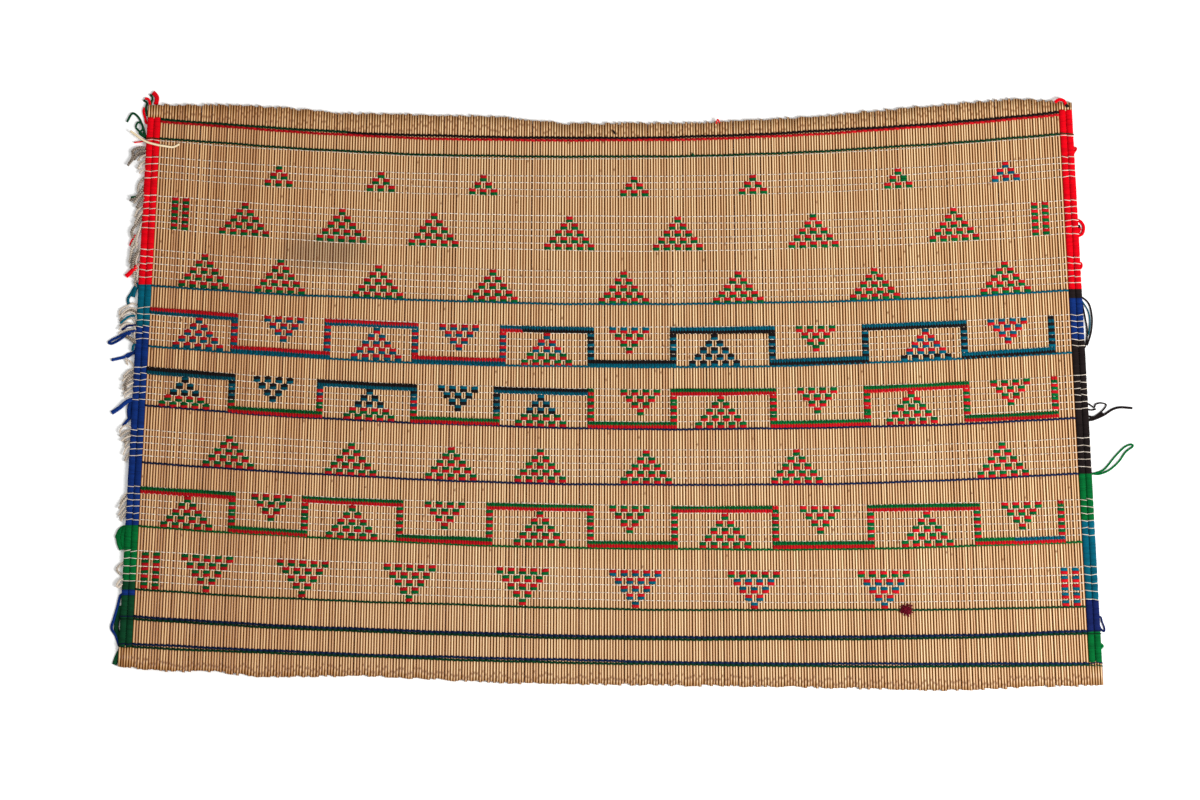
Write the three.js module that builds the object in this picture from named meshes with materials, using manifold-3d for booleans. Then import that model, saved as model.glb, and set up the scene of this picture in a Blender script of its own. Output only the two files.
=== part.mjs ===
// A flat reed mat of the Sahara: stems side by side, held by cross courses of twined thread and
// wool, with wool-wrapped selvedges, three meander frets and the loose ends of its yarns.
// Millimetres, +Z up. +X runs across the stems to the right, +Y along them to the top edge.
// z = 0 is the face the mat lies on, and x = y = 0 is the middle of the whole thing.

import * as THREE from 'three';
import { mergeVertices } from 'three/addons/utils/BufferGeometryUtils.js';
import Module from 'manifold-3d';

const wasm = await Module();
wasm.setup();

// Driving sizes of the stem field
const WAIST_HALF = 464;          // half the width between the selvedges at mid height
const FAN = 0.0546;              // how much each half narrows for every millimetre upwards
const FIELD_STEMS = 336;
const PAIRS = FIELD_STEMS / 2;   // wool and thread pass over the stems two by two
const EDGE_STEMS = 5;            // stems inside each selvedge, bare only at their ends
const STEM_CREST = 3.1;
const STEM_VALLEY = 2.1;
const CREST_VARIATION = 0.1;
const PITCH_VARIATION = 0.1;     // share of a stem's width
const CREST_SHOULDER = 0.28;     // where a stem's flat back starts, as a share of its width
const END_VARIATION = 1.3;       // the stems are cut off a little unevenly
const END_NOTCH = 0.9;           // how far the groove between two stems stops short of their ends

// Selvedges: two wool-wound bundles side by side
const SELVEDGE_WIDTH = 13.4;
const SELVEDGE_HEIGHT = 4.4;
const BUNDLE_FACETS = 10;
const BUNDLE_FULLNESS = 1.12;    // over 1, so that a bundle is a little flat on top and underneath
const WRAP_STEP = 45;
const WRAP_VARIATION = 0.35;
const GAP = 0.3;                 // clearance between separate pieces
const NOTCH_BITE = 0.25;         // how far the room for a selvedge is cut into the outermost stem
const ROOM_REACH = 50;           // the room is cut to well past the outermost stem

// What lies on the stems' backs
const ON_STEMS = STEM_CREST + CREST_VARIATION + GAP;
const COURSE_HEIGHT = 0.9;
const COURSE_STEPS = 14;
const DOUBLE_SPACING = 2.9;      // between the two strands of a double course
const FRET_WIDTH = 5.6;
const FRET_HEIGHT = 1;
const FRET_STEP_PAIRS = 9;
const FRET_ROWS = 6;             // thread rows that a fret spans; its last gap ends on a wool course

// Loose ends
const THREAD_END_WIDTH = 1.5;
const THREAD_END_HEIGHT = 1.3;
const YARN_HEIGHT = 1.7;
const YARN_TOP_SHARE = 0.6;      // a yarn's section is narrower at its top by this share
const YARN_STEP = 5;
const YARN_ROOT = 1.5;           // a yarn leaves its selvedge straight for this far
const THREAD_END_OFFSET = 0.5;   // from a selvedge's widest place to the middle of a bunch's strip
const THREAD_END_STEPS = 5;

// A cut thread's bend, as shares of how far it reaches out and how far it drops
const THREAD_HOOK = [
  { out: 0, down: 0 }, { out: 0.45, down: 0.14 }, { out: 0.8, down: 0.5 }, { out: 1, down: 1 },
];

// Seeds of the mat's unevenness
const STEM_SEED = 7;
const WRAP_SEED = 21;

const WOOLS = {
  red: '#d01124',
  dark_green: '#0b4729',
  green: '#087a41',
  teal: '#08697f',
  blue: '#1a3385',
  navy: '#1b2a6b',
  black: '#1f1a1a',
};
const WOOL_ROUGHNESS = 0.95;
const THREAD_ROUGHNESS = 0.9;
const STEM_ROUGHNESS = 0.7;
const STRAW_ROUGHNESS = 0.6;
const STEM_COLOUR = '#cda06c';
const THREAD_COLOUR = '#e1cdb9';
const STRAW_COLOUR = '#e6cfa4';
const TUFT_COLOUR = '#7a1226';

// The stems' ends: how far up and down they reach, by place across the field (0 left, 1 right)
const TOP_EDGE = [
  { across: -0.02, y: 290 }, { across: 0.07, y: 290 }, { across: 0.13, y: 287.5 },
  { across: 0.2, y: 281.6 }, { across: 0.37, y: 278.5 }, { across: 0.455, y: 270.8 },
  { across: 0.6, y: 272 }, { across: 0.72, y: 277.6 }, { across: 0.84, y: 287.7 },
  { across: 0.95, y: 295.8 }, { across: 1.02, y: 292 },
];
const BOTTOM_EDGE = [
  { across: -0.02, y: -271 }, { across: 0.04, y: -276 }, { across: 0.09, y: -276.5 },
  { across: 0.13, y: -281.5 }, { across: 0.25, y: -281 }, { across: 0.4, y: -288.2 },
  { across: 0.55, y: -290 }, { across: 0.7, y: -292 }, { across: 0.86, y: -295.5 },
  { across: 0.95, y: -291.5 }, { across: 1.02, y: -290 },
];

// Wool lengths wound round each selvedge, from the top down
const LEFT_WRAPS = {
  side: -1,
  top: 277.5,
  lengths: [
    { name: 'wrap_left_1_red', wool: 'red', length: 167 },
    { name: 'wrap_left_2_teal', wool: 'teal', length: 41.5 },
    { name: 'wrap_left_3_blue', wool: 'blue', length: 199 },
    { name: 'wrap_left_4_green', wool: 'green', length: 56 },
    { name: 'wrap_left_5_dark_green', wool: 'dark_green', length: 8.5 },
    { name: 'wrap_left_6_blue_ring', wool: 'blue', length: 5.5 },
    { name: 'wrap_left_7_dark_green', wool: 'dark_green', length: 51.5 },
  ],
};
const RIGHT_WRAPS = {
  side: 1,
  top: 285,
  lengths: [
    { name: 'wrap_right_1_red', wool: 'red', length: 179 },
    { name: 'wrap_right_2_black', wool: 'black', length: 9 },
    { name: 'wrap_right_3_blue', wool: 'blue', length: 42 },
    { name: 'wrap_right_4_black', wool: 'black', length: 133.5 },
    { name: 'wrap_right_5_green', wool: 'green', length: 46.8 },
    { name: 'wrap_right_6_teal', wool: 'teal', length: 79.2 },
    { name: 'wrap_right_7_navy', wool: 'navy', length: 31.5 },
    { name: 'wrap_right_8_green', wool: 'green', length: 31 },
  ],
};

// Coloured twined courses, each with its height at the left selvedge, the middle and the right
const COURSES = [
  { name: 'course_01', wools: ['black', 'red'], width: 2.4, left: 276, middle: 257, right: 283 },
  { name: 'course_02', wools: ['green'], width: 2.4, left: 256.6, middle: 238, right: 261.2 },
  { name: 'course_03', wools: ['teal'], width: 2, left: 109.5, middle: 91, right: 104.4 },
  { name: 'course_04', wools: ['teal'], width: 2, left: 48.8, middle: 28, right: 43 },
  { name: 'course_05', wools: ['navy'], width: 2, left: -10.4, middle: -33.5, right: -23 },
  { name: 'course_06', wools: ['navy'], width: 2, left: -66.8, middle: -89.5, right: -78.8 },
  { name: 'course_07', wools: ['green'], width: 2, left: -130.7, middle: -153.3, right: -146.9 },
  { name: 'course_08', wools: ['dark_green'], width: 2, left: -194.5, middle: -213.6, right: -211.2 },
  { name: 'course_09', wools: ['navy', 'dark_green'], width: 2.4,
    left: -221.3, middle: -241, right: -235.9 },
  { name: 'course_10', wools: ['navy', 'dark_green'], width: 2.4,
    left: -250.6, middle: -267.4, right: -269.3 },
];

// Frets: the heights of their first and last thread rows, the course under them, and the stem
// pairs that their columns stand on, counted from the left
const FRETS = [
  {
    name: 'fret_upper', wool: 'red', course: 'course_04',
    first: { left: 87.5, middle: 68, right: 80.2 },
    last: { left: 56.2, middle: 34.5, right: 49.2 },
    columns: [15, 32, 48, 64, 80, 95, 113, 130, 148, 164],
  },
  {
    name: 'fret_middle', wool: 'teal', course: 'course_05',
    first: { left: 27.9, middle: 6, right: 19.7 },
    last: { left: -4.1, middle: -26.5, right: -13.4 },
    columns: [15, 31, 48, 63, 80, 95, 113, 130, 148, 164],
  },
  {
    name: 'fret_lower', wool: 'green', course: 'course_07',
    first: { left: -91.5, middle: -110, right: -104.4 },
    last: { left: -124.6, middle: -145.5, right: -139.8 },
    columns: [16, 29, 46, 62, 80, 95, 113, 130, 149, 164],
  },
];

// Ends of the white threads beside the left selvedge: one bunch for each band of thread rows
const BUNCHES = [
  { name: 'ends_1', rows: 4, first: 237.5, last: 217, reach: 9, drop: 12 },
  { name: 'ends_2', rows: 6, first: 198.5, last: 166.5, reach: 9, drop: 12 },
  { name: 'ends_3', rows: 5, first: 145, last: 118, reach: 8, drop: 9 },
  { name: 'ends_4', rows: 6, first: 87, last: 56, reach: 12, drop: 9 },
  { name: 'ends_5', rows: 6, first: 27.5, last: -4.5, reach: 10, drop: 12 },
  { name: 'ends_6', rows: 5, first: -33, last: -61, reach: 8, drop: 10 },
  { name: 'ends_7', rows: 6, first: -91.5, last: -125, reach: 7, drop: 10 },
  { name: 'ends_8', rows: 5, first: -156, last: -186, reach: 6, drop: 10 },
];

// Coloured yarn ends. root is where a yarn leaves a selvedge: its side, y and the height of the
// yarn's underside; way goes on from there. A yarn that crosses a bunch of thread ends passes
// over it and comes down to the surface beyond.
const TAILS = [
  { name: 'tail_red_stub', wool: 'red', width: 4.6,
    way: [[-454.2, 290.35, 0], [-453, 296.6, 0], [-456, 302.6, 0]] },
  { name: 'tail_green_stub', wool: 'dark_green', width: 1.8,
    way: [[-459.4, 290.3, 0], [-458, 295.5, 0], [-460, 300.5, 0]] },
  { name: 'tail_red_hook', wool: 'red', width: 2, root: { side: -1, y: 274, lift: 0 },
    way: [[-464.9, 279, 0], [-465.6, 285, 0], [-464.8, 292, 0], [-466, 296.5, 0]] },
  { name: 'tail_green_curl', wool: 'dark_green', width: 2.2, root: { side: -1, y: 257, lift: 0 },
    way: [[-466.4, 266, 0], [-471, 277, 0], [-477.5, 281.5, 0], [-483, 271, 0]] },
  { name: 'tail_red_thick', wool: 'red', width: 3.4, root: { side: -1, y: 134.5, lift: 1.7 },
    way: [[-477, 128, 1.7], [-481.5, 122, 0.9], [-486, 116, 0]] },
  { name: 'tail_teal', wool: 'teal', width: 2, root: { side: -1, y: 105.5, lift: 0 },
    way: [[-476.5, 102.5, 0], [-480, 97, 0], [-481.3, 90.5, 0]] },
  { name: 'tail_blue_loop', wool: 'blue', width: 2.2, root: { side: -1, y: 66.5, lift: 1.7 },
    way: [[-483, 63, 1.7], [-492, 58.6, 0.6], [-499.5, 54.3, 0], [-501.2, 51.7, 0],
      [-498, 50.6, 0], [-491.5, 53.8, 0.3], [-485.4, 57, 1.7], [-479, 60.2, 1.7]] },
  { name: 'tail_blue_fork', wool: 'blue', width: 2.2, root: { side: -1, y: 39.3, lift: 0 },
    way: [[-483.2, 40.2, 0], [-490.5, 38, 0], [-498.5, 34.7, 0]] },
  { name: 'tail_blue_bend', wool: 'blue', width: 2.4, root: { side: -1, y: -4.5, lift: 1.7 },
    way: [[-487, -9.5, 1.7], [-494, -14, 0.6], [-498.6, -18.2, 0], [-495.5, -20.6, 0],
      [-489.5, -22.6, 0]] },
  { name: 'tail_green_bulge', wool: 'green', width: 3.4, root: { side: -1, y: -137.6, lift: 0 },
    way: [[-491.3, -139.5, 0], [-493.3, -143.5, 0], [-492.4, -150, 0], [-489.4, -154.6, 0]] },
  { name: 'tail_blue_edge', wool: 'blue', width: 2.4, root: { side: -1, y: -200.5, lift: 0 },
    way: [[-495.5, -214, 0], [-498.6, -229, 0], [-495.8, -243, 0], [-493.4, -250.5, 0]] },
  { name: 'tail_corner', wool: 'dark_green', width: 4.8,
    way: [[-494, -252.8, 0], [-494.9, -261, 0], [-496.6, -269.5, 0]] },
  { name: 'tail_red_loop', wool: 'red', width: 2.2, root: { side: 1, y: 174.2, lift: 0 },
    way: [[473.3, 172.6, 0], [474.6, 167.4, 0], [473, 161.6, 0], [470, 158.9, 0]] },
  { name: 'tail_black_arc', wool: 'black', width: 1.4, root: { side: 1, y: 96.8, lift: 0 },
    way: [[480.4, 88, 0], [482.4, 76, 0], [481, 60, 0], [477.6, 49.5, 0]] },
  { name: 'tail_black_loop', wool: 'black', width: 1.6, root: { side: 1, y: -9.2, lift: 0 },
    way: [[485, -11.8, 0], [489.5, -9.6, 0], [496.5, -10.2, 0], [493, -14.2, 0],
      [485.5, -17.3, 0]] },
  { name: 'tail_black_long', wool: 'black', width: 2, root: { side: 1, y: -24.5, lift: 0 },
    way: [[493.6, -19.5, 0], [509, -12.6, 0], [523.4, -13.4, 0]] },
  { name: 'tail_green_loop', wool: 'green', width: 1.8, root: { side: 1, y: -78.8, lift: 0 },
    way: [[494, -73.4, 0], [504.5, -61, 0], [514, -51.8, 0], [521.6, -48.4, 0],
      [522.8, -51.6, 0], [514.6, -57, 0], [507.4, -67, 0], [497, -77.2, 0], [489.5, -80.6, 0]] },
  { name: 'tail_blue_nub', wool: 'navy', width: 2, root: { side: 1, y: -222, lift: 0 },
    way: [[494.4, -226.5, 0], [495.6, -232, 0], [492.6, -235.4, 0]] },
];

const STRAW_WAY = [
  [-479.4, 264, 3.2], [-468.5, 256, 4.2], [-462, 252.6, 4.8], [-452.6, 250, 4.8],
  [-445.5, 248.8, 4.7], [-436.7, 247.8, 3.7], [-430.3, 250.7, 3.6],
];
const STRAW_WIDTH = 2.2;
const STRAW_HEIGHT = 0.6;
const STRAW_STEPS = 14;
const TUFT = { x: 296.4, y: -214.6, core: 4.2, spike: 8, spikes: 9, height: 2.6 };

// Repeatable randomness, so that the mat is as uneven on every run
function randomSource(seed) {
  let state = seed;
  return () => {
    state = (state + 0x6d2b79f5) | 0;
    let mixed = Math.imul(state ^ (state >>> 15), 1 | state);
    mixed = (mixed + Math.imul(mixed ^ (mixed >>> 7), 61 | mixed)) ^ mixed;
    return ((mixed ^ (mixed >>> 14)) >>> 0) / 4294967296;
  };
}

// Places on the mat
const halfWidth = (y) => WAIST_HALF - FAN * y;

// x of a stem boundary counted from the left selvedge's inner side; edge stems count past it
function boundaryX(boundary, y) {
  const inField = THREE.MathUtils.clamp(boundary, 0, FIELD_STEMS);
  const beyond = ((boundary - inField) * SELVEDGE_WIDTH) / EDGE_STEMS;
  return ((2 * inField) / FIELD_STEMS - 1) * halfWidth(y) + beyond;
}

// Height along an edge table, eased between its rows
function edgeY(table, across) {
  const next = table.findIndex((row) => row.across >= across);
  if (next <= 0) return table[next === 0 ? 0 : table.length - 1].y;
  const before = table[next - 1];
  const after = table[next];
  const share = (across - before.across) / (after.across - before.across);
  return THREE.MathUtils.lerp(before.y, after.y, THREE.MathUtils.smoothstep(share, 0, 1));
}

// A course hangs in a shallow bow: straight from selvedge to selvedge, and lower in the middle
function courseY(course, across) {
  const straight = THREE.MathUtils.lerp(course.left, course.right, across);
  const sag = course.middle - (course.left + course.right) / 2;
  return straight + sag * 4 * across * (1 - across);
}

// A point on the mat from its place across the field and its height
function onMat(across, y) {
  return new THREE.Vector2((2 * across - 1) * halfWidth(y), y);
}

// Meshes
function finishGeometry(positions, index) {
  const geometry = new THREE.BufferGeometry();
  geometry.setAttribute('position', new THREE.Float32BufferAttribute(positions, 3));
  geometry.setIndex(index);
  geometry.computeVertexNormals();
  return geometry;
}

function plainMaterial(color, roughness) {
  return new THREE.MeshStandardMaterial({ color, roughness, metalness: 0 });
}

function woolMaterial(wool) {
  return plainMaterial(WOOLS[wool], WOOL_ROUGHNESS);
}

function namedMesh(name, geometry, material) {
  const mesh = new THREE.Mesh(geometry, material);
  mesh.name = name;
  return mesh;
}

// Solids for cutting and joining
function toSolid(geometry) {
  const bare = geometry.clone();
  bare.deleteAttribute('normal');
  bare.deleteAttribute('uv');
  const merged = mergeVertices(bare, 1e-4);
  return new wasm.Manifold(new wasm.Mesh({
    numProp: 3,
    vertProperties: new Float32Array(merged.attributes.position.array),
    triVerts: new Uint32Array(merged.index.array),
  }));
}

function toGeometry(solid) {
  const mesh = solid.getMesh();
  return finishGeometry(Array.from(mesh.vertProperties), Array.from(mesh.triVerts));
}

// A closed body through rings of equal count, each ring anticlockwise seen against the way it runs
function loftRings(rings, flatRing) {
  const count = flatRing.length;
  const positions = rings.flat().flatMap((point) => [point.x, point.y, point.z]);
  const index = [];
  for (let ring = 0; ring + 1 < rings.length; ring += 1) {
    for (let side = 0; side < count; side += 1) {
      const here = ring * count + side;
      const beside = ring * count + ((side + 1) % count);
      index.push(here, beside, beside + count, here, beside + count, here + count);
    }
  }
  const last = (rings.length - 1) * count;
  for (const [a, b, c] of THREE.ShapeUtils.triangulateShape(flatRing, [])) {
    index.push(a, c, b, last + a, last + b, last + c);
  }
  return finishGeometry(positions, index);
}

// A yarn of four sides along a way, flat underneath
function yarnGeometry(way, width, height, steps) {
  const curve = new THREE.CatmullRomCurve3(way.map((point) => new THREE.Vector3(...point)));
  const count = steps ?? Math.max(3, Math.ceil(curve.getLength() / YARN_STEP));
  const section = [
    new THREE.Vector2(width / 2, 0),
    new THREE.Vector2((width / 2) * YARN_TOP_SHARE, height),
    new THREE.Vector2((-width / 2) * YARN_TOP_SHARE, height),
    new THREE.Vector2(-width / 2, 0),
  ];
  const rings = [];
  for (let step = 0; step <= count; step += 1) {
    const centre = curve.getPointAt(step / count);
    const along = curve.getTangentAt(step / count);
    const across = new THREE.Vector3(-along.y, along.x, 0).normalize();
    rings.push(section.map((corner) => centre.clone()
      .addScaledVector(across, corner.x)
      .add(new THREE.Vector3(0, 0, corner.y))));
  }
  return loftRings(rings, section);
}

// The outline of a ribbon of even width along a bent line, mitred at its corners
function ribbonShape(line, width) {
  const left = [];
  const right = [];
  line.forEach((point, position) => {
    const before = line[position - 1] ?? point;
    const after = line[position + 1] ?? point;
    const arriving = point.clone().sub(before);
    const leaving = after.clone().sub(point);
    const first = (arriving.lengthSq() > 0 ? arriving : leaving).clone().normalize();
    const second = (leaving.lengthSq() > 0 ? leaving : arriving).clone().normalize();
    const mitre = new THREE.Vector2(-(first.y + second.y), first.x + second.x).normalize();
    const stretch = width / 2 / mitre.dot(new THREE.Vector2(-first.y, first.x));
    left.push(point.clone().addScaledVector(mitre, stretch));
    right.unshift(point.clone().addScaledVector(mitre, -stretch));
  });
  return new THREE.Shape([...right, ...left]);
}

// The stems, one woven sheet: a flat underside, a raised back for each stem, uneven ends
function stemSheet() {
  const random = randomSource(STEM_SEED);
  const spread = (amount) => (2 * random() - 1) * amount;
  const first = -EDGE_STEMS;
  const last = FIELD_STEMS + EDGE_STEMS;
  const stems = [];
  for (let stem = first; stem < last; stem += 1) {
    const across = (stem + 0.5) / FIELD_STEMS;
    const inField = across > 0 && across < 1;
    stems.push({
      crest: STEM_CREST + spread(CREST_VARIATION),
      top: edgeY(TOP_EDGE, across) + spread(inField ? END_VARIATION : 0),
      bottom: edgeY(BOTTOM_EDGE, across) + spread(inField ? END_VARIATION : 0),
    });
  }
  const grooves = [];
  for (let groove = 0; groove <= stems.length; groove += 1) {
    const beside = [stems[groove - 1], stems[groove]].filter(Boolean);
    const onSelvedge = groove === 0 || groove === stems.length
      || groove === EDGE_STEMS || groove === EDGE_STEMS + FIELD_STEMS;
    grooves.push({
      boundary: first + groove + (onSelvedge ? 0 : spread(PITCH_VARIATION)),
      top: Math.min(...beside.map((stem) => stem.top)) - END_NOTCH,
      bottom: Math.max(...beside.map((stem) => stem.bottom)) + END_NOTCH,
    });
  }

  const positions = [];
  const put = (boundary, y, z) => positions.push(boundaryX(boundary, y), y, z) / 3 - 1;
  const ring = (boundary, row, z) => ({
    top: put(boundary, row.top, z),
    bottom: put(boundary, row.bottom, z),
  });
  const groovePoints = grooves.map((groove) => ({
    low: ring(groove.boundary, groove, 0),
    high: ring(groove.boundary, groove, STEM_VALLEY),
  }));
  const index = [];
  const quad = (a, b, c, d) => index.push(a, b, c, a, c, d);
  stems.forEach((stem, place) => {
    const leftSide = grooves[place].boundary;
    const width = grooves[place + 1].boundary - leftSide;
    const left = groovePoints[place];
    const right = groovePoints[place + 1];
    const crestLeft = ring(leftSide + width * CREST_SHOULDER, stem, stem.crest);
    const crestRight = ring(leftSide + width * (1 - CREST_SHOULDER), stem, stem.crest);
    const back = [left.high, crestLeft, crestRight, right.high];
    for (let strip = 0; strip < 3; strip += 1) {
      quad(back[strip].bottom, back[strip + 1].bottom, back[strip + 1].top, back[strip].top);
    }
    quad(left.low.top, right.low.top, right.low.bottom, left.low.bottom);
    const topFace = [left.low.top, left.high.top, crestLeft.top, crestRight.top,
      right.high.top, right.low.top];
    const bottomFace = [left.low.bottom, right.low.bottom, right.high.bottom, crestRight.bottom,
      crestLeft.bottom, left.high.bottom];
    for (const face of [topFace, bottomFace]) {
      for (let corner = 1; corner + 1 < face.length; corner += 1) {
        index.push(face[0], face[corner], face[corner + 1]);
      }
    }
  });
  const start = groovePoints[0];
  const end = groovePoints[groovePoints.length - 1];
  quad(start.low.bottom, start.high.bottom, start.high.top, start.low.top);
  quad(end.low.bottom, end.low.top, end.high.top, end.high.bottom);
  return finishGeometry(positions, index);
}

// The room beside the field where a selvedge's wool is wound round the edge stems
function selvedgeRoom({ side, top, lengths }) {
  const bottom = top - lengths.reduce((sum, wrap) => sum + wrap.length, 0);
  const far = side * (WAIST_HALF + ROOM_REACH);
  const high = top + GAP;
  const low = bottom - GAP;
  const corners = [
    new THREE.Vector2(far, low),
    new THREE.Vector2(side * (halfWidth(low) - NOTCH_BITE), low),
    new THREE.Vector2(side * (halfWidth(high) - NOTCH_BITE), high),
    new THREE.Vector2(far, high),
  ];
  const depth = 3 * STEM_CREST;
  return new THREE.ExtrudeGeometry(new THREE.Shape(corners), { depth, bevelEnabled: false })
    .translate(0, 0, -STEM_CREST);
}

function reedField() {
  const cut = [LEFT_WRAPS, RIGHT_WRAPS].reduce(
    (solid, wraps) => solid.subtract(toSolid(selvedgeRoom(wraps))),
    toSolid(stemSheet()),
  );
  return namedMesh('reed_field', toGeometry(cut), plainMaterial(STEM_COLOUR, STEM_ROUGHNESS));
}

// Section of a selvedge: two rounded bundles with a groove between, as distance out and height
function bundleSection() {
  const half = SELVEDGE_WIDTH / 2;
  const points = [];
  for (const bundle of [0, 1]) {
    for (let facet = 0; facet < BUNDLE_FACETS; facet += 1) {
      const turn = (Math.PI * (facet + 0.5)) / BUNDLE_FACETS;
      const flattened = Math.min(1, BUNDLE_FULLNESS * Math.sin(turn));
      points.push(new THREE.Vector2(
        half * (bundle + 0.5 - 0.5 * Math.cos(turn)),
        (SELVEDGE_HEIGHT / 2) * flattened,
      ));
    }
  }
  const upper = points.map((point) => new THREE.Vector2(point.x, SELVEDGE_HEIGHT / 2 + point.y));
  const lower = points.map((point) => new THREE.Vector2(point.x, SELVEDGE_HEIGHT / 2 - point.y));
  return [...lower, ...upper.reverse()];
}

// One length of wool wound round a selvedge, from y = top down to y = bottom
function wrapMesh({ name, wool }, side, top, bottom, random) {
  const section = bundleSection();
  const steps = Math.max(1, Math.round((top - bottom) / WRAP_STEP));
  const rings = [];
  for (let step = 0; step <= steps; step += 1) {
    const y = THREE.MathUtils.lerp(top, bottom, step / steps);
    const inner = halfWidth(y) - NOTCH_BITE + GAP;
    const slimmer = 1 - (WRAP_VARIATION * random()) / SELVEDGE_WIDTH;
    rings.push(section.map(
      (point) => new THREE.Vector3(side * (inner + point.x * slimmer), y, point.y),
    ));
  }
  if (side < 0) rings.reverse();
  return namedMesh(name, loftRings(rings, section), woolMaterial(wool));
}

function wraps({ side, top, lengths }) {
  const random = randomSource(WRAP_SEED + side);
  let start = top;
  return lengths.map((wrap, place) => {
    const end = start - wrap.length;
    const stop = place + 1 < lengths.length ? end + GAP : end;
    const mesh = wrapMesh(wrap, side, start, stop, random);
    start = end;
    return mesh;
  });
}

// A strand of a twined course, laid across the stems' backs from selvedge to selvedge
function courseStrand(course, lower) {
  const margin = 0.5 / FIELD_STEMS;
  const way = [];
  for (let step = 0; step <= COURSE_STEPS; step += 1) {
    const across = THREE.MathUtils.lerp(margin, 1 - margin, step / COURSE_STEPS);
    const place = onMat(across, courseY(course, across) - lower);
    way.push([place.x, place.y, ON_STEMS]);
  }
  return yarnGeometry(way, course.width, COURSE_HEIGHT, COURSE_STEPS);
}

function courses() {
  return COURSES.flatMap((course) => course.wools.map((wool, strand) => {
    const which = strand ? 'lower' : 'upper';
    const name = course.wools.length > 1 ? `${course.name}_${which}` : course.name;
    return namedMesh(name, courseStrand(course, strand * DOUBLE_SPACING), woolMaterial(wool));
  }));
}

// A fret is one ribbon: along a top bar, down a column, along a bottom bar, up a column, and so on
function fretLine(fret) {
  const course = COURSES.find(({ name }) => name === fret.course);
  const place = (pair, atTop) => {
    const across = (pair + 0.5) / PAIRS;
    const firstRow = courseY(fret.first, across);
    const rowPitch = (firstRow - courseY(fret.last, across)) / (FRET_ROWS - 1);
    const aboveCourse = courseY(course, across) + course.width / 2 + GAP + FRET_WIDTH / 2;
    return onMat(across, atTop ? firstRow - rowPitch / 2 : aboveCourse);
  };
  const line = [];
  let pair = 0;
  let atTop = true;
  for (const column of fret.columns) {
    const steps = Math.max(1, Math.round((column - pair) / FRET_STEP_PAIRS));
    for (let step = line.length ? 1 : 0; step <= steps; step += 1) {
      line.push(place(THREE.MathUtils.lerp(pair, column, step / steps), atTop));
    }
    pair = column;
    atTop = !atTop;
    line.push(place(pair, atTop));
  }
  return line;
}

function fretMesh(fret) {
  const shape = ribbonShape(fretLine(fret), FRET_WIDTH);
  const geometry = new THREE.ExtrudeGeometry(shape, { depth: FRET_HEIGHT, bevelEnabled: false });
  return namedMesh(fret.name, geometry.translate(0, 0, ON_STEMS), woolMaterial(fret.wool));
}

// Thread ends of one band: each hooks outwards and down, and all grow from a strip by the selvedge
function threadBunch({ name, rows, first, last, reach, drop }) {
  const rootX = (y) => -(halfWidth(y) + SELVEDGE_WIDTH + THREAD_END_OFFSET);
  const half = THREAD_END_WIDTH / 2;
  const strip = [first + half, last - half].map((y) => [rootX(y), y, 0]);
  let solid = toSolid(yarnGeometry(strip, THREAD_END_WIDTH, THREAD_END_HEIGHT, 1));
  for (let row = 0; row < rows; row += 1) {
    const y = THREE.MathUtils.lerp(first, last, row / (rows - 1));
    const hook = THREAD_HOOK.map(({ out, down }) => [rootX(y) - out * (reach - half), y - down * drop, 0]);
    const strand = yarnGeometry(hook, THREAD_END_WIDTH, THREAD_END_HEIGHT, THREAD_END_STEPS);
    solid = solid.add(toSolid(strand));
  }
  return namedMesh(name, toGeometry(solid), plainMaterial(THREAD_COLOUR, THREAD_ROUGHNESS));
}

// The first two points of a yarn that leaves a selvedge square to it
function rootPoints({ side, y, lift }) {
  const out = halfWidth(y) + SELVEDGE_WIDTH + GAP;
  return [[side * out, y, lift], [side * (out + YARN_ROOT), y, lift]];
}

function tails() {
  return TAILS.map(({ name, wool, width, root, way }) => {
    const whole = root ? [...rootPoints(root), ...way] : way;
    return namedMesh(name, yarnGeometry(whole, width, YARN_HEIGHT), woolMaterial(wool));
  });
}

function caughtStraw() {
  const geometry = yarnGeometry(STRAW_WAY, STRAW_WIDTH, STRAW_HEIGHT, STRAW_STEPS);
  return namedMesh('caught_straw', geometry, plainMaterial(STRAW_COLOUR, STRAW_ROUGHNESS));
}

// A frayed knot of wool that sits on the lowest single course
function tuft() {
  const points = [];
  for (let corner = 0; corner < 2 * TUFT.spikes; corner += 1) {
    const turn = (Math.PI * corner) / TUFT.spikes;
    const radius = corner % 2 ? TUFT.core : TUFT.spike;
    points.push(new THREE.Vector2(
      TUFT.x + radius * Math.cos(turn),
      TUFT.y + radius * Math.sin(turn),
    ));
  }
  const plan = new THREE.Shape(points);
  const geometry = new THREE.ExtrudeGeometry(plan, { depth: TUFT.height, bevelEnabled: false });
  geometry.translate(0, 0, ON_STEMS + COURSE_HEIGHT + GAP);
  return namedMesh('tuft', geometry, plainMaterial(TUFT_COLOUR, WOOL_ROUGHNESS));
}

// The mat, set so that the middle of its whole box is at x = y = 0
function buildMat() {
  const mat = new THREE.Group();
  mat.add(
    reedField(),
    ...wraps(LEFT_WRAPS),
    ...wraps(RIGHT_WRAPS),
    ...courses(),
    ...FRETS.map(fretMesh),
    ...BUNCHES.map(threadBunch),
    ...tails(),
    caughtStraw(),
    tuft(),
  );
  const middle = new THREE.Box3().setFromObject(mat).getCenter(new THREE.Vector3());
  mat.position.set(-middle.x, -middle.y, 0);
  return mat;
}

export default buildMat();
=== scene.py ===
"""The looks of a flat reed mat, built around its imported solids.

Sizes are millimetres in the loom frame: x = 0 is midway between the selvedges, y = 0 is mid
height and z = 0 is the face that the mat lies on. A mesh is moved to the mat's own frame, in
metres, only when it is made.
"""

from __future__ import annotations

import logging
import math
import random
from collections.abc import Sequence
from dataclasses import dataclass, field, replace
from enum import Enum

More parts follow.
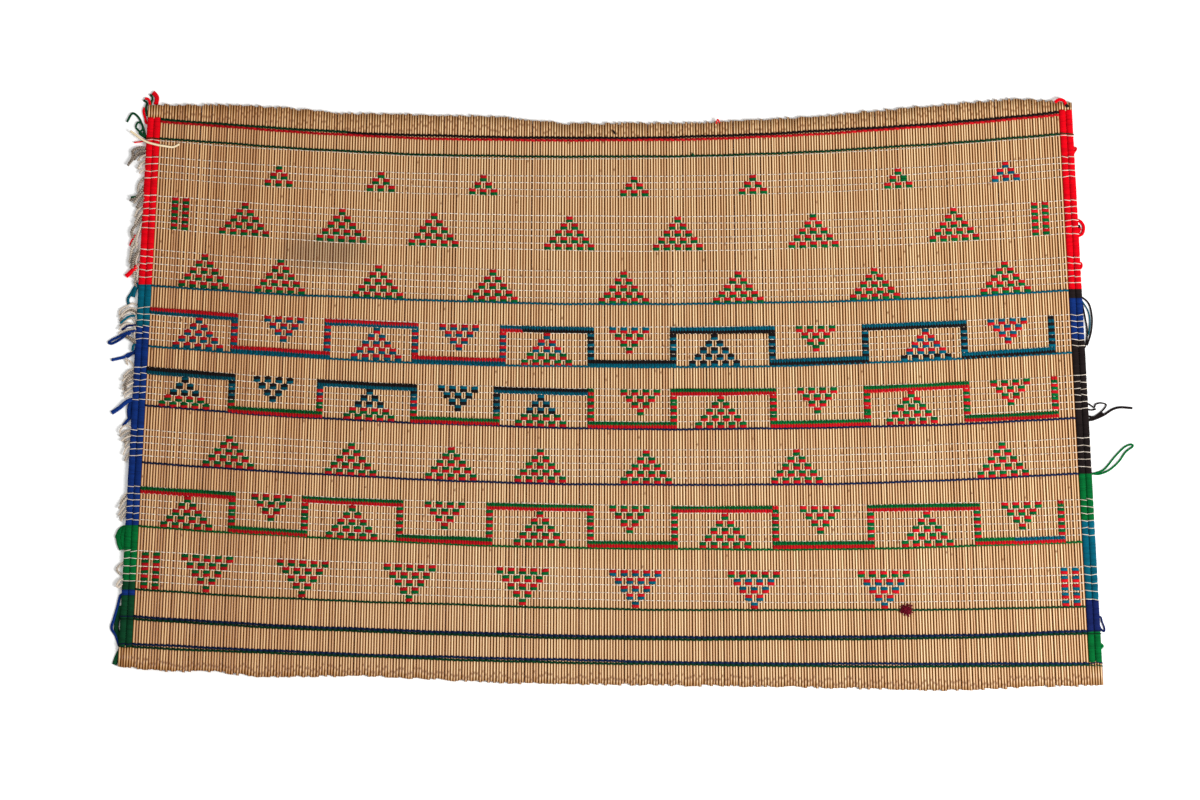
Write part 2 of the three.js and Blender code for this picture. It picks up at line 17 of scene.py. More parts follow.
import bpy
import numpy as np
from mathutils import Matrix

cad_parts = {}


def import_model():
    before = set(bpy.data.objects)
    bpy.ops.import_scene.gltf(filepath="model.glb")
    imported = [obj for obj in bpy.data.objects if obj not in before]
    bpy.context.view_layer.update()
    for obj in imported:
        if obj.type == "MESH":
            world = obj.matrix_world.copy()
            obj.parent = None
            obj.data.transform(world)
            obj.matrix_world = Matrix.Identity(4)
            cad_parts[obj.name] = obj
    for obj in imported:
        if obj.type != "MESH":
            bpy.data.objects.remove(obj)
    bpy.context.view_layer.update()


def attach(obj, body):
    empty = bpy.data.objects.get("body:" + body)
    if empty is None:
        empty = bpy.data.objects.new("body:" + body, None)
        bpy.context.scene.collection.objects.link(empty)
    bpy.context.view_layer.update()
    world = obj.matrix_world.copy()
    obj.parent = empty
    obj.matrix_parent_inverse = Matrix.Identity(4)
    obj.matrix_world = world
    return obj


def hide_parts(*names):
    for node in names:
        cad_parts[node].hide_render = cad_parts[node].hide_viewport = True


LOG = logging.getLogger("reed_mat")

MM = 0.001
BODY = "root"

# The stem field and its selvedges, with the same sizes as the solids
WAIST_HALF = 464.0  # half the width between the selvedges at mid height
FAN = 0.0546  # how much that half grows for each millimetre down
FIELD_STEMS = 336
PAIRS = FIELD_STEMS // 2
EDGE_STEMS = 5
SELVEDGE_WIDTH = 13.4
SELVEDGE_HEIGHT = 4.4
SEAT = 0.05  # the winding starts this far out from the field's edge
MIDDLE_X = 11.488  # the middle of the whole mat's box, loose ends included
MIDDLE_Y = 3.809

# Height of a stem's middle over the floor, and half its thickness
STEM_Z = 2.2
STEM_RISE = 1.25

ALONG_X = np.array([1.0, 0.0, 0.0])
ALONG_Y = np.array([0.0, 1.0, 0.0])
UPWARDS = np.array([0.0, 0.0, 1.0])


class Wool(Enum):
    """A yarn: a dyed wool by the name of its slot, or one of the two white threads."""

    RED = "red"
    DARK_GREEN = "dark_green"
    GREEN = "green"
    TEAL = "teal"
    BLUE = "blue"
    NAVY = "navy"
    BLACK = "black"
    DARK_RED = "dark_red"
    UNDYED = "undyed"
    SOILED_AND_SHADOWED = "soiled"


THREADS = (Wool.UNDYED, Wool.SOILED_AND_SHADOWED)
WOOL_CODES = {"r": Wool.RED, "g": Wool.GREEN, "t": Wool.TEAL, "k": Wool.BLACK}


class Profile(Enum):
    """A yarn's or stem's section, as the angles of its corners in degrees."""

    STEM = (22.5, 67.5, 112.5, 157.5, 202.5, 247.5, 292.5, 337.5)
    YARN = (0.0, 60.0, 120.0, 180.0, 240.0, 300.0)
    THREAD = (0.0, 90.0, 180.0, 270.0)
    FLAT_YARN = (38.0, 142.0, 218.0, 322.0)
    FLOAT = (-25.0, 58.0, 122.0, 205.0)


@dataclass(frozen=True)
class Heights:
    """A course's height at the left selvedge, in the middle and at the right selvedge."""

    left: float
    middle: float
    right: float

    def at(self, across: np.ndarray | float) -> np.ndarray | float:
        """Height at a place across the field.

        Args:
            across: 0 at the left selvedge, 1 at the right.

        Returns:
            The height, on a shallow bow through the three given ones.
        """
        sag = self.middle - (self.left + self.right) / 2
        return self.left + (self.right - self.left) * across + sag * 4 * across * (1 - across)

    def between(self, other: Heights, share: float) -> Heights:
        """The course that lies at a share of the way to another one.

        Args:
            other: The other course.
            share: 0 for this course, 1 for the other.

        Returns:
            The course between them.
        """
        return Heights(
            self.left + (other.left - self.left) * share,
            self.middle + (other.middle - self.middle) * share,
            self.right + (other.right - self.right) * share,
        )

    def lowered(self, drop: float) -> Heights:
        """The same course, lower by a drop."""
        return Heights(self.left - drop, self.middle - drop, self.right - drop)


@dataclass(frozen=True)
class Line:
    """Two twined strands of one wool: the solid's number, the span across and the drop."""

    number: str
    wool: Wool
    start: float = 0.0
    stop: float = 1.0
    drop: float = 0.0


@dataclass(frozen=True)
class Course:
    """A coloured course: its heights, its lines of strands and half a strand's width."""

    heights: Heights
    lines: tuple[Line, ...]
    half_wide: float = 1.25


COURSES = {
    "01": Course(Heights(276, 257, 283), (
        Line("01_upper", Wool.DARK_GREEN, stop=0.21),
        Line("01_upper", Wool.BLACK, start=0.21),
        Line("01_lower", Wool.RED, drop=2.6),
    ), half_wide=1.4),
    "02": Course(Heights(256.6, 238, 261.2), (Line("02", Wool.DARK_GREEN),)),
    "03": Course(Heights(109.5, 91, 104.4), (Line("03", Wool.TEAL),)),
    "04": Course(Heights(48.8, 28, 43), (Line("04", Wool.TEAL),)),
    "05": Course(Heights(-10.4, -33.5, -23), (Line("05", Wool.NAVY),)),
    "06": Course(Heights(-66.8, -89.5, -78.8), (Line("06", Wool.NAVY),)),
    "07": Course(Heights(-130.7, -153.3, -146.9), (Line("07", Wool.GREEN),)),
    "08": Course(Heights(-194.5, -213.6, -211.2), (Line("08", Wool.DARK_GREEN),)),
    "09": Course(Heights(-221.3, -241, -235.9), (
        Line("09_upper", Wool.NAVY), Line("09_lower", Wool.DARK_GREEN, drop=2.4),
    ), half_wide=1.45),
    "10": Course(Heights(-250.6, -267.4, -269.3), (
        Line("10_upper", Wool.NAVY, drop=-1.6), Line("10_lower", Wool.DARK_GREEN, drop=0.8),
    ), half_wide=1.45),
}


@dataclass(frozen=True)
class Band:
    """Rows of white thread one under the other, with the gaps between them for wool blocks."""

    first: Heights
    last: Heights
    rows: int
    foot: str = ""
    foot_share: float = 0.47

    def row(self, place: int) -> Heights:
        """Heights of a thread row, counted from 0 at the top."""
        return self.first.between(self.last, place / (self.rows - 1))

    def all_rows(self) -> list[Heights]:
        """Heights of each thread row, from the top down."""
        return [self.row(place) for place in range(self.rows)]

    def gap(self, place: int) -> Heights:
        """Heights of the middle of a gap.

        Args:
            place: Its count from 1 at the top. The last gap is between the last row and the
                coloured course at the band's foot.

        Returns:
            The heights.
        """
        if place < self.rows:
            return self.row(place - 1).between(self.row(place), 0.5)
        return self.last.between(COURSES[self.foot].heights, self.foot_share)


BANDS = {
    "a": Band(Heights(238, 218.4, 238), Heights(217.2, 198.2, 218.2), 4),
    "b": Band(Heights(199.3, 178.4, 194.8), Heights(167, 144.1, 161.5), 6),
    "c": Band(Heights(145.4, 123.5, 137.8), Heights(118, 96.6, 112.1), 5, "03"),
    "m1": Band(Heights(87.5, 68, 80.2), Heights(56.2, 34.5, 49.2), 6, "04"),
    "m2": Band(Heights(27.9, 6, 19.7), Heights(-4.1, -26.5, -13.4), 6, "05"),
    "e": Band(Heights(-34.5, -55, -43), Heights(-60.3, -82, -71.5), 5, "06"),
    "m3": Band(Heights(-91.5, -110, -104.4), Heights(-124.6, -145.5, -139.8), 6, "07"),
    "f": Band(Heights(-155.8, -174, -171.4), Heights(-185.7, -205, -204.1), 5, "08"),
}


class Way(Enum):
    """How the blocks of a motif step: wider downwards, wider upwards, or straight down."""

    UP = 1
    DOWN = -1
    COLUMN = 0


# Motifs by band: the first gap, the way, and the motif's colours by the pair of stems that it
# stands on. A half is one stem further on. Colours go from the top row down, each upper wool
# then lower wool, with the count of like rows before them: "gr 2rg" is gr, rg, rg.
MOTIFS = (
    ("a", 1, Way.UP, {
        22: "gr 2rg", 41: "3rg", 60: "3rg", 88: "3rg", 110: "3rg", 137: "3rg", 157: "3rt",
    }),
    ("b", 1, Way.UP, {
        16: "5rg", 34: "5rg", 51: "5rg", 76: "5rg", 96: "5rg", 121: "gr 4rg", 147: "5rg",
    }),
    ("b", 1, Way.COLUMN, dict.fromkeys((3, 5, 162, 164), "5rg")),
    ("c", 1, Way.UP, {
        9: "5rg", 23: "gr 4rg", 41: "5rg", 62: "5rg", 86: "5rg", 107: "5rg", 132: "5rg",
        156: "5rg",
    }),
    ("m1", 2, Way.UP, {8.5: "5rt", 41: "3tr 2rt", 72: "3rt 2gr", 102.5: "5kt", 141: "tr 3rt kt"}),
    ("m1", 1, Way.DOWN, {24: "4rt", 56: "4rt", 87: "tr gr rg gr", 121: "gr 2rg gr", 156: "4tr"}),
    ("m2", 2, Way.UP, {
        6.5: "3tk rg gr", 40: "3kt rg gr", 71: "3tk 2gr", 103.5: "rg 4gr", 138: "2rg 3gr",
    }),
    ("m2", 1, Way.DOWN, {22.5: "4kt", 56: "4tk", 89: "3gr rg", 121: "3gr rg", 156: "3gr rg"}),
    ("e", 1, Way.UP, {
        15: "5gr", 37: "5gr", 55: "rg 4gr", 71: "5gr", 90: "rg 4gr", 117: "rg 4gr", 154: "5gr",
    }),
    ("m3", 2, Way.UP, {
        8: "rg gr rg 2gr", 37.5: "rg gr rg 2gr", 71: "gr rg 3gr", 104: "2rg 3gr", 140: "2rg 3gr",
    }),
    ("m3", 1, Way.DOWN, {23: "rg 2gr rg", 54: "3gr rg", 87: "3gr rg", 121: "4rg", 157: "4rg"}),
    ("f", 1, Way.DOWN, {
        12: "5gr", 29: "4rg gr", 48: "4rg gr", 68: "rg gr 2rg gr", 88: "4rt tr",
        109: "rg 2tr rt tr", 132: "rg rt tr rt tr",
    }),
    ("f", 1, Way.COLUMN, {1: "2gr 2rg gr", 3: "2gr 2rg gr", 164: "2tr rt 2tr", 166: "2tr rt 2tr"}),
)

# Blocks that differ from the rest of their row, by band, gap and pair
ODD_BLOCKS = {("a", 2, 138): "gg", ("c", 3, 154): "gr"}


def rows_of(colours: str) -> list[str]:
    """A motif's colours written out, one entry for each row."""
    return [part[-2:] for part in colours.split() for _ in range(int(part[:-2] or 1))]


@dataclass(frozen=True)
class Fret:
    """A square meander: the solid it stands for, its band, its columns and its bars.

    A column is a pair of stems with its colours in the gaps between the bars. A bar is a first
    and last pair with its upper and lower wool.
    """

    node: str
    band: str
    columns: dict[int, str]
    top_bars: tuple[tuple[int, int, str], ...]
    bottom_bars: tuple[tuple[int, int, str], ...]


FRETS = (
    Fret(
        "fret_upper", "m1",
        {15: "3tr rt", 32: "4rt", 48: "4tr", 64: "4rt", 80: "tk 3kt", 95: "2kt tk kt",
         113: "4kt", 130: "4tk", 148: "4kt", 164: "4kt"},
        ((0, 15, "rt"), (32, 48, "rt"), (64, 67, "tr"), (68, 80, "tk"), (95, 113, "tk"),
         (130, 148, "tk"), (164, 164, "kt")),
        ((15, 32, "rt"), (48, 64, "rt"), (80, 95, "kt"), (113, 130, "tk"), (148, 164, "tk")),
    ),
    Fret(
        "fret_middle", "m2",
        {15: "kt 2tk gr", 31: "2tr rg gr", 48: "kt 2tr gr", 63: "3kt gr", 80: "4gr",
         95: "rg 3gr", 113: "3rg gr", 130: "2gr rg gr", 148: "3rg gr", 164: "2rg 2gr"},
        ((0, 15, "kt"), (31, 48, "kt"), (63, 79, "kt"), (80, 80, "gr"), (95, 113, "gr"),
         (130, 148, "gr"), (164, 164, "rg")),
        ((15, 31, "gr"), (48, 63, "gr"), (80, 95, "gr"), (113, 130, "gr"), (148, 164, "gr")),
    ),
    Fret(
        "fret_lower", "m3",
        {16: "2rg 2gr", 29: "2rg 2gr", 46: "4gr", 62: "4gr", 80: "rg 3gr", 95: "4gr",
         113: "2rg 2gr", 130: "gr rg 2gr", 149: "4gr", 164: "4gr"},
        ((0, 16, "gr"), (29, 46, "gr"), (62, 80, "gr"), (95, 112, "gr"), (113, 113, "rg"),
         (130, 149, "gr"), (164, 164, "rg")),
        ((16, 29, "gr"), (46, 62, "gr"), (80, 95, "gr"), (113, 130, "gr"), (149, 155, "gr"),
         (156, 164, "tr")),
    ),
)

# Wool wound round each selvedge from the top down: the solid, its wool and its length
WINDINGS = {
    -1: (277.5, (
        ("wrap_left_1_red", Wool.RED, 167.0), ("wrap_left_2_teal", Wool.TEAL, 41.5),
        ("wrap_left_3_blue", Wool.BLUE, 199.0), ("wrap_left_4_green", Wool.GREEN, 56.0),
        ("wrap_left_5_dark_green", Wool.DARK_GREEN, 8.5),
        ("wrap_left_6_blue_ring", Wool.BLUE, 5.5),
        ("wrap_left_7_dark_green", Wool.DARK_GREEN, 51.5),
    )),
    1: (285.0, (
        ("wrap_right_1_red", Wool.RED, 179.0), ("wrap_right_2_black", Wool.BLACK, 9.0),
        ("wrap_right_3_blue", Wool.BLUE, 42.0), ("wrap_right_4_black", Wool.BLACK, 133.5),
        ("wrap_right_5_green", Wool.GREEN, 46.8), ("wrap_right_6_teal", Wool.TEAL, 79.2),
        ("wrap_right_7_navy", Wool.NAVY, 31.5), ("wrap_right_8_green", Wool.GREEN, 31.0),
    )),
}

# How far up and down the stems reach, by place across the field
TOP_EDGE = (
    (-0.02, 290.0), (0.07, 290.0), (0.13, 287.5), (0.2, 281.6), (0.37, 278.5), (0.455, 270.8),
    (0.6, 272.0), (0.72, 277.6), (0.84, 287.7), (0.95, 295.8), (1.02, 292.0),
)
BOTTOM_EDGE = (
    (-0.02, -271.0), (0.04, -276.0), (0.09, -276.5), (0.13, -281.5), (0.25, -281.0),
    (0.4, -288.2), (0.55, -290.0), (0.7, -292.0), (0.86, -295.5), (0.95, -291.5), (1.02, -290.0),
)

# Cut ends of the white threads beside the left selvedge, by solid. Each has its shade, 0 for
# the darkest and 1 for the cleanest, its width and the places that it passes over. The thread
# is soiled, and its darkest ends also stand in for the shadow under the bunch, as painted shadow.
CUT_ENDS = {
    "ends_1": (
        (0.1, 3.0, (-464, 247), (-471, 247), (-477, 244), (-477, 238), (-481, 231)),
        (0.2, 2.6, (-464, 244), (-471, 243), (-475, 238), (-479, 233), (-482, 229.5)),
        (0.0, 3.0, (-466, 242), (-473, 240), (-476, 235)),
        (0.5, 2.4, (-464, 240), (-469, 238), (-472, 234)),
        (0.6, 2.8, (-464, 234), (-469, 231), (-472, 226)),
        (0.8, 2.0, (-464, 226), (-468, 224), (-470.5, 221.5)),
        (0.4, 2.4, (-465, 218), (-469, 214), (-471.5, 209), (-472, 203)),
    ),
    "ends_2": (
        (0.15, 3.0, (-466, 209), (-469, 203), (-474, 198), (-480, 194.5)),
        (0.4, 2.6, (-466, 203), (-471, 198), (-476, 192)),
        (0.8, 1.6, (-466, 194), (-470, 200), (-473, 198), (-476, 193)),
        (0.2, 3.0, (-466, 197), (-471, 191), (-473, 187)),
        (0.7, 2.4, (-466, 189), (-472, 185), (-475, 178)),
        (0.5, 2.8, (-467, 184), (-471, 179), (-475, 171)),
        (0.25, 3.2, (-468, 178), (-473, 171), (-478, 164), (-477, 157)),
        (0.7, 2.0, (-468, 173), (-471, 163), (-474, 153), (-473, 146)),
        (0.45, 2.8, (-468, 169), (-474, 158), (-478.5, 149)),
    ),
    "ends_3": (
        (0.45, 2.8, (-472, 152), (-478, 146), (-479, 139), (-480.5, 132)),
        (0.85, 1.8, (-469, 149), (-471.5, 141), (-474, 133), (-471.5, 126), (-473, 118)),
        (0.75, 1.6, (-478, 143), (-475, 141.5), (-474, 136), (-479, 130), (-480, 127)),
        (0.2, 3.4, (-471, 145), (-476, 136), (-478, 127)),
        (0.4, 3.0, (-470, 133), (-475, 125), (-476, 117)),
        (0.7, 1.8, (-469, 131), (-473.5, 127), (-472, 121), (-473, 115)),
        (0.15, 2.6, (-470, 120), (-475, 113), (-473, 108)),
    ),
    "ends_4": (
        (0.8, 1.8, (-471, 89), (-477, 91.5), (-483, 89), (-489.5, 85), (-490.5, 80)),
        (0.6, 1.8, (-472, 84), (-478, 87), (-485, 84), (-490.5, 77)),
        (0.2, 2.0, (-472, 81), (-479, 85), (-486, 80), (-490, 74)),
        (0.8, 1.8, (-472.5, 75), (-475.5, 81.5), (-481, 83), (-489, 78)),
        (0.7, 1.8, (-473, 69), (-477, 76), (-483, 75), (-490.5, 69)),
        (0.9, 1.9, (-473.5, 61), (-475, 68), (-479.5, 71.5), (-486, 70.5), (-491, 65)),
        (0.75, 1.8, (-472, 62), (-477, 65.5), (-484, 65), (-491.5, 61.5)),
        (0.6, 1.8, (-473, 49), (-475, 56), (-475.5, 64)),
        (0.1, 4.0, (-474, 52), (-480, 57), (-484, 59)),
    ),
    "ends_5": (
        (0.7, 2.0, (-475.5, 27), (-479, 33), (-484, 35.5), (-482, 30)),
        (0.15, 3.0, (-476, 23), (-482, 15), (-485, 5)),
        (0.6, 2.4, (-474.5, 26), (-481, 24), (-486.5, 18)),
        (0.75, 2.4, (-474.5, 22), (-481, 19.5), (-487.5, 14)),
        (0.5, 2.4, (-475, 17.5), (-481, 15), (-487.5, 9)),
        (0.7, 2.4, (-475, 13), (-481, 10.5), (-487.5, 5)),
        (0.6, 2.2, (-475.5, 8), (-481, 5.5), (-486.5, 1)),
        (0.8, 2.2, (-475.5, 3.5), (-481, 1), (-485.5, -2.5)),
    ),
    "ends_6": (
        (0.15, 3.0, (-478, -38), (-484, -42), (-485, -48)),
        (0.75, 2.0, (-476, -35.5), (-480, -31.5), (-484.5, -30.5), (-489, -34), (-490, -38)),
        (0.5, 2.6, (-476, -37), (-483, -36), (-490, -41)),
        (0.7, 2.2, (-477, -41), (-483, -42), (-488.5, -46)),
        (0.45, 2.2, (-478, -45), (-483, -47.5), (-485, -52)),
        (0.8, 2.0, (-478.5, -58), (-478, -53.5), (-481, -51.5), (-484.5, -55), (-486.5, -60)),
        (0.5, 2.6, (-478.5, -56), (-482, -60), (-485, -66)),
    ),
    "ends_7": (
        (0.7, 2.0, (-481, -97), (-486, -101.5), (-490, -109.5)),
        (0.45, 2.4, (-481.5, -102), (-486.5, -106.5), (-491, -113.5)),
        (0.7, 2.2, (-482, -109), (-486.5, -113), (-491.5, -120)),
        (0.5, 2.2, (-482, -114), (-486.5, -118), (-490, -123.5)),
        (0.75, 2.0, (-482, -119), (-486, -121.5), (-489, -126)),
    ),
    "ends_8": (
        (0.55, 2.4, (-485.5, -167), (-490.5, -170.5), (-493, -175), (-489, -179.5)),
        (0.85, 2.4, (-484, -184), (-489.5, -185), (-493, -190), (-491, -192), (-486.5, -188)),
    ),
}

# Short yarn ends: wool, width and places, each with the lift of the yarn's underside
SHORT_ENDS = (
    (Wool.RED, 2.6, (-461.5, 281, 0.9), (-460, 290, 0.9), (-461.5, 295.5, 0.4), (-465, 296.5, 0)),
    (Wool.RED, 1.4, (-464, 254, 1), (-470, 253, 0.6), (-476, 252.5, 0)),
    (Wool.RED, 2.2, (-474, 160, 1), (-478, 154, 0.6), (-480, 149, 0)),
    (Wool.RED, 2.4, (462.5, 247, 1), (466, 246.5, 1), (463.5, 242, 1)),
    (Wool.RED, 2.4, (466.5, 133, 1), (471, 131.5, 1), (471, 127.5, 1), (467.5, 125.5, 1)),
    (Wool.RED, 3.2, (444.5, 292.5, 3.4), (449, 295.2, 3.4), (453.5, 294, 3.4), (455.5, 290, 3.4)),
    (Wool.RED, 4.0, (464.5, 170, 0.4), (469, 167, 0.4), (467.5, 162, 0.4)),
    (Wool.RED, 1.4, (106, 271, 3.4), (107.6, 275.5, 3.4), (109.6, 272, 3.4)),
    (Wool.BLACK, 3.0, (455.6, 290.6, 3.6), (457.6, 287.5, 3.6)),
    (Wool.BLACK, 1.6, (3, 264.5, 4), (5.5, 260.5, 4)),
    (Wool.BLACK, 2.0, (468.8, 170, 2.6), (469.4, 167, 2.6)),
    (Wool.BLACK, 1.6, (472, 92, 0.6), (475, 78, 0), (477, 65, 0), (476.5, 54, 0), (474.5, 47, 0.6)),
    (Wool.BLACK, 1.6, (477, -14.5, 1), (482, -15, 0), (486, -14, 0)),
    (Wool.BLACK, 2.0, (477, -21, 1), (484, -22, 0.4), (493, -18, 0)),
    (Wool.DARK_GREEN, 2.2, (-462.5, 279, 1), (-464, 287, 0.6), (-463, 292, 0), (-466.4, 295, 0)),
    (Wool.DARK_GREEN, 2.0, (-463, 258, 1), (-471, 264, 0.4), (-474, 268, 0), (-472, 272.5, 0),
     (-468, 271, 1.4), (-467, 266, 1.8), (-470.5, 262, 1.4), (-465, 257.5, 1.2)),
    (Wool.DARK_GREEN, 1.8, (-474, 198.5, 2.2), (-479, 197.5, 2)),
    (Wool.DARK_GREEN, 2.4, (82, 241.5, 3.6), (84.5, 238, 3.6)),
    # The wide dark green end in the blue yarn end's gap: bulging wool, and painted shadow there
    (Wool.DARK_GREEN, 5.0, (-488.5, -211, 0.4), (-492, -222, 0), (-493.6, -233, 0),
     (-491, -242, 0), (-489.4, -250, 0.4)),
    (Wool.GREEN, 2.6, (489, -248, 1), (492.6, -251, 1), (489.5, -254, 1)),
    (Wool.GREEN, 3.0, (-487, -138, 1), (-493.4, -141.2, 0.4), (-489, -147, 1)),
    (Wool.GREEN, 5.0, (-484, -132, 1.2), (-487, -139, 1.2), (-487, -147, 1.2), (-485, -154, 1.2)),
    (Wool.TEAL, 2.2, (-474, 79.5, 1.8), (-482, 78, 1.8), (-489.5, 71.5, 0.8)),
    (Wool.TEAL, 2.4, (-470, 52, 1.6), (-476, 50, 1.8), (-477.5, 44, 1.8)),
    (Wool.TEAL, 3.6, (-471, 112, 1), (-474.5, 106, 0.8), (-477, 98, 0.4)),
    (Wool.TEAL, 1.4, (472, 94, 0.2), (478, 84, 0), (479.8, 72, 0), (478.4, 60, 0)),
    (Wool.NAVY, 2.2, (-474, 70, 1.8), (-482, 69, 1.8), (-488, 65, 0.8)),
    (Wool.BLUE, 3.0, (-477, -20, 1), (-483, -26, 0.4), (-487, -31, 0)),
    (Wool.BLUE, 5.0, (-477, -6, 1), (-480.5, -14, 0.6), (-480, -24, 0.6)),
    (Wool.BLUE, 2.6, (-474, 45, 1.4), (-479, 40.5, 0.6), (-483, 37.5, 0)),
)

@dataclass(frozen=True)
class Tail:
    """A loose yarn end: its wool and width, the root on a selvedge if it has one, and its way.

    A root is a side, a height and the lift of the yarn's underside; the way goes on from there
    as points of x, y and lift.
    """

    name: str
    wool: Wool
    width: float
    root: tuple[int, float, float] | None
    way: tuple[tuple[float, float, float], ...]


TAILS = (
    Tail("tail_red_stub", Wool.RED, 4.6, None,
         ((-454.2, 290.35, 0), (-453, 296.6, 0), (-454.5, 300, 0), (-457, 302.6, 0))),
    Tail("tail_green_stub", Wool.DARK_GREEN, 2.2, None,
         ((-459.4, 290.3, 0), (-457.5, 295.5, 0), (-458, 298.5, 0), (-460, 300.5, 0))),
    Tail("tail_red_hook", Wool.RED, 2.6, (-1, 272, 0),
         ((-464.5, 276, 0), (-466.2, 283, 0), (-465.4, 287.5, 0))),
    Tail("tail_green_curl", Wool.DARK_GREEN, 2.2, (-1, 257, 0),
         ((-466.4, 266, 0), (-471, 277, 0), (-477.5, 281.5, 0), (-483, 273, 0))),
    Tail("tail_red_thick", Wool.RED, 4.4, (-1, 130, 1.2),
         ((-476, 125.5, 1.7), (-480.5, 121.5, 0.9), (-484, 118.5, 0.5))),
    Tail("tail_teal", Wool.TEAL, 3, (-1, 111, 0),
         ((-475.5, 107, 0), (-479, 101, 0), (-482, 96, 0), (-481.3, 90.5, 0))),
    Tail("tail_blue_loop", Wool.BLUE, 2.6, (-1, 64, 1.7),
         ((-483, 62.2, 1.7), (-492, 58.0, 0.6), (-499.5, 54.2, 0), (-501.2, 52.2, 0),
          (-498, 51.4, 0), (-491.5, 54.6, 0.3), (-485.4, 58.6, 1.7), (-479, 62.2, 1.7))),
    Tail("tail_blue_fork", Wool.BLUE, 3, (-1, 42, 0),
         ((-481, 41, 0), (-486, 38, 0), (-492, 36.4, 0), (-498.5, 35, 0))),
    Tail("tail_blue_bend", Wool.BLUE, 4.2, (-1, -5, 1.7),
         ((-484, -7.5, 1.7), (-490, -12.5, 0.9), (-496, -16.5, 0), (-498.4, -17.8, 0))),
    Tail("tail_green_bulge", Wool.GREEN, 5.5, (-1, -133, 0),
         ((-489.5, -136, 0.6), (-491.3, -141, 0.6), (-490.5, -148, 0.6), (-488, -154.6, 0.6))),
    Tail("tail_blue_edge", Wool.BLUE, 2.8, (-1, -200.5, 0),
         ((-492.5, -212, 0), (-496, -224, 0), (-498.4, -233, 0), (-494, -241, 0),
          (-491, -250.5, 0))),
    Tail("tail_corner", Wool.DARK_GREEN, 4.8, None,
         ((-488.5, -252.8, 0), (-492.5, -261, 0), (-495.6, -269.5, 0))),
    Tail("tail_red_loop", Wool.RED, 3.2, (1, 174.2, 0),
         ((472, 171.6, 0), (473.6, 167.4, 0), (472.4, 161.6, 0), (468.5, 159.2, 0))),
    Tail("tail_black_arc", Wool.BLACK, 1.8, (1, 96.8, 0),
         ((479.4, 90, 0), (482, 76, 0), (480.8, 62, 0), (477, 49.5, 0))),
    Tail("tail_black_loop", Wool.BLACK, 1.6, (1, -9.2, 0),
         ((484, -12.6, 0), (485.5, -9.4, 0), (490.5, -8, 0), (496.2, -9.8, 0), (492.5, -15.5, 0),
          (485.5, -21, 0), (480, -24, 0))),
    Tail("tail_black_long", Wool.BLACK, 2.4, (1, -25, 0),
         ((484, -24.2, 0), (493.6, -20, 0), (502, -14.6, 0), (510, -12.4, 0), (522.4, -13.2, 0))),
    Tail("tail_green_loop", Wool.GREEN, 2, (1, -78.8, 0),
         ((494, -74.4, 0), (504.5, -62, 0), (514, -52.4, 0), (521, -49.4, 0),
          (522.8, -51.4, 0), (515.6, -57, 0), (508.4, -67, 0), (499, -75.2, 0),
          (489.5, -79, 0), (484, -79, 0))),
    Tail("tail_blue_nub", Wool.NAVY, 1.8, (1, -222, 0),
         ((492, -226.5, 0), (494.4, -233, 0), (494, -236.5, 0), (491, -234, 0), (488.5, -229, 0))),
)
YARN_LIFT = 0.85  # from a yarn's underside to its middle

# The caught straw's way, each point with the lift of its underside
STRAW_WAY = (
    (-479.4, 264, 3.2), (-468.5, 256, 4.2), (-462, 252.6, 4.8), (-452.6, 250, 4.8),
    (-445.5, 248.8, 4.7), (-436.7, 247.8, 3.7), (-430.3, 250.7, 3.6),
)

def half_width(y: np.ndarray | float) -> np.ndarray | float:
    """Half the width between the selvedges at a height."""
    return WAIST_HALF - FAN * y


def field_x(across: np.ndarray | float, y: np.ndarray | float) -> np.ndarray | float:
    """The x of a place across the field at a height."""
    return (2 * across - 1) * half_width(y)


def wound_span(side: int) -> tuple[float, float]:
    """The top and bottom heights between which a selvedge is wound."""
    top, lengths = WINDINGS[side]
    return top, top - sum(length for _, _, length in lengths)


def wound_middle(side: int, place: int, y: np.ndarray | float) -> np.ndarray | float:
    """The x of a wound bundle's middle.

    Args:
        side: -1 for the left selvedge, 1 for the right.
        place: 0 for the inner bundle, 1 for the outer.
        y: The height.

    Returns:
        The x at that height.
    """
    return side * (half_width(y) + SEAT + SELVEDGE_WIDTH / 4 * (2 * place + 1))


def linear(hex_colour: str) -> tuple[float, float, float, float]:
    """Turns an sRGB hex colour into a linear one.

    Args:
        hex_colour: Six hex digits after a hash sign.

    Returns:
        Linear red, green and blue, and full alpha.
    """
    shares = [int(hex_colour[place:place + 2], 16) / 255 for place in (1, 3, 5)]
    red, green, blue = (
        share / 12.92 if share <= 0.04045 else ((share + 0.055) / 1.055) ** 2.4
        for share in shares
    )
    return red, green, blue, 1.0


def smooth_way(points: Sequence[Sequence[float]], step: float) -> np.ndarray:
    """A smooth line through points, whose slope at each is that between its neighbours.

    Args:
        points: The points to pass through.
        step: About how far apart the line's own points are.

    Returns:
        The line's points, one row each.
    """
    knots = np.array(points, dtype=float)
    padded = np.vstack([2 * knots[0] - knots[1], knots, 2 * knots[-1] - knots[-2]])
    line = []
    for start in range(len(knots) - 1):
        before, here, after, beyond = padded[start:start + 4]
        count = max(2, math.ceil(np.linalg.norm(after - here) / step))
        for share in np.arange(count) / count:
            line.append(
                here
                + 0.5 * share * (after - before)
                + share**2 * (before - 2.5 * here + 2 * after - 0.5 * beyond)
                + share**3 * (1.5 * (here - after) + 0.5 * (beyond - before))
            )
    return np.array([*line, knots[-1]])


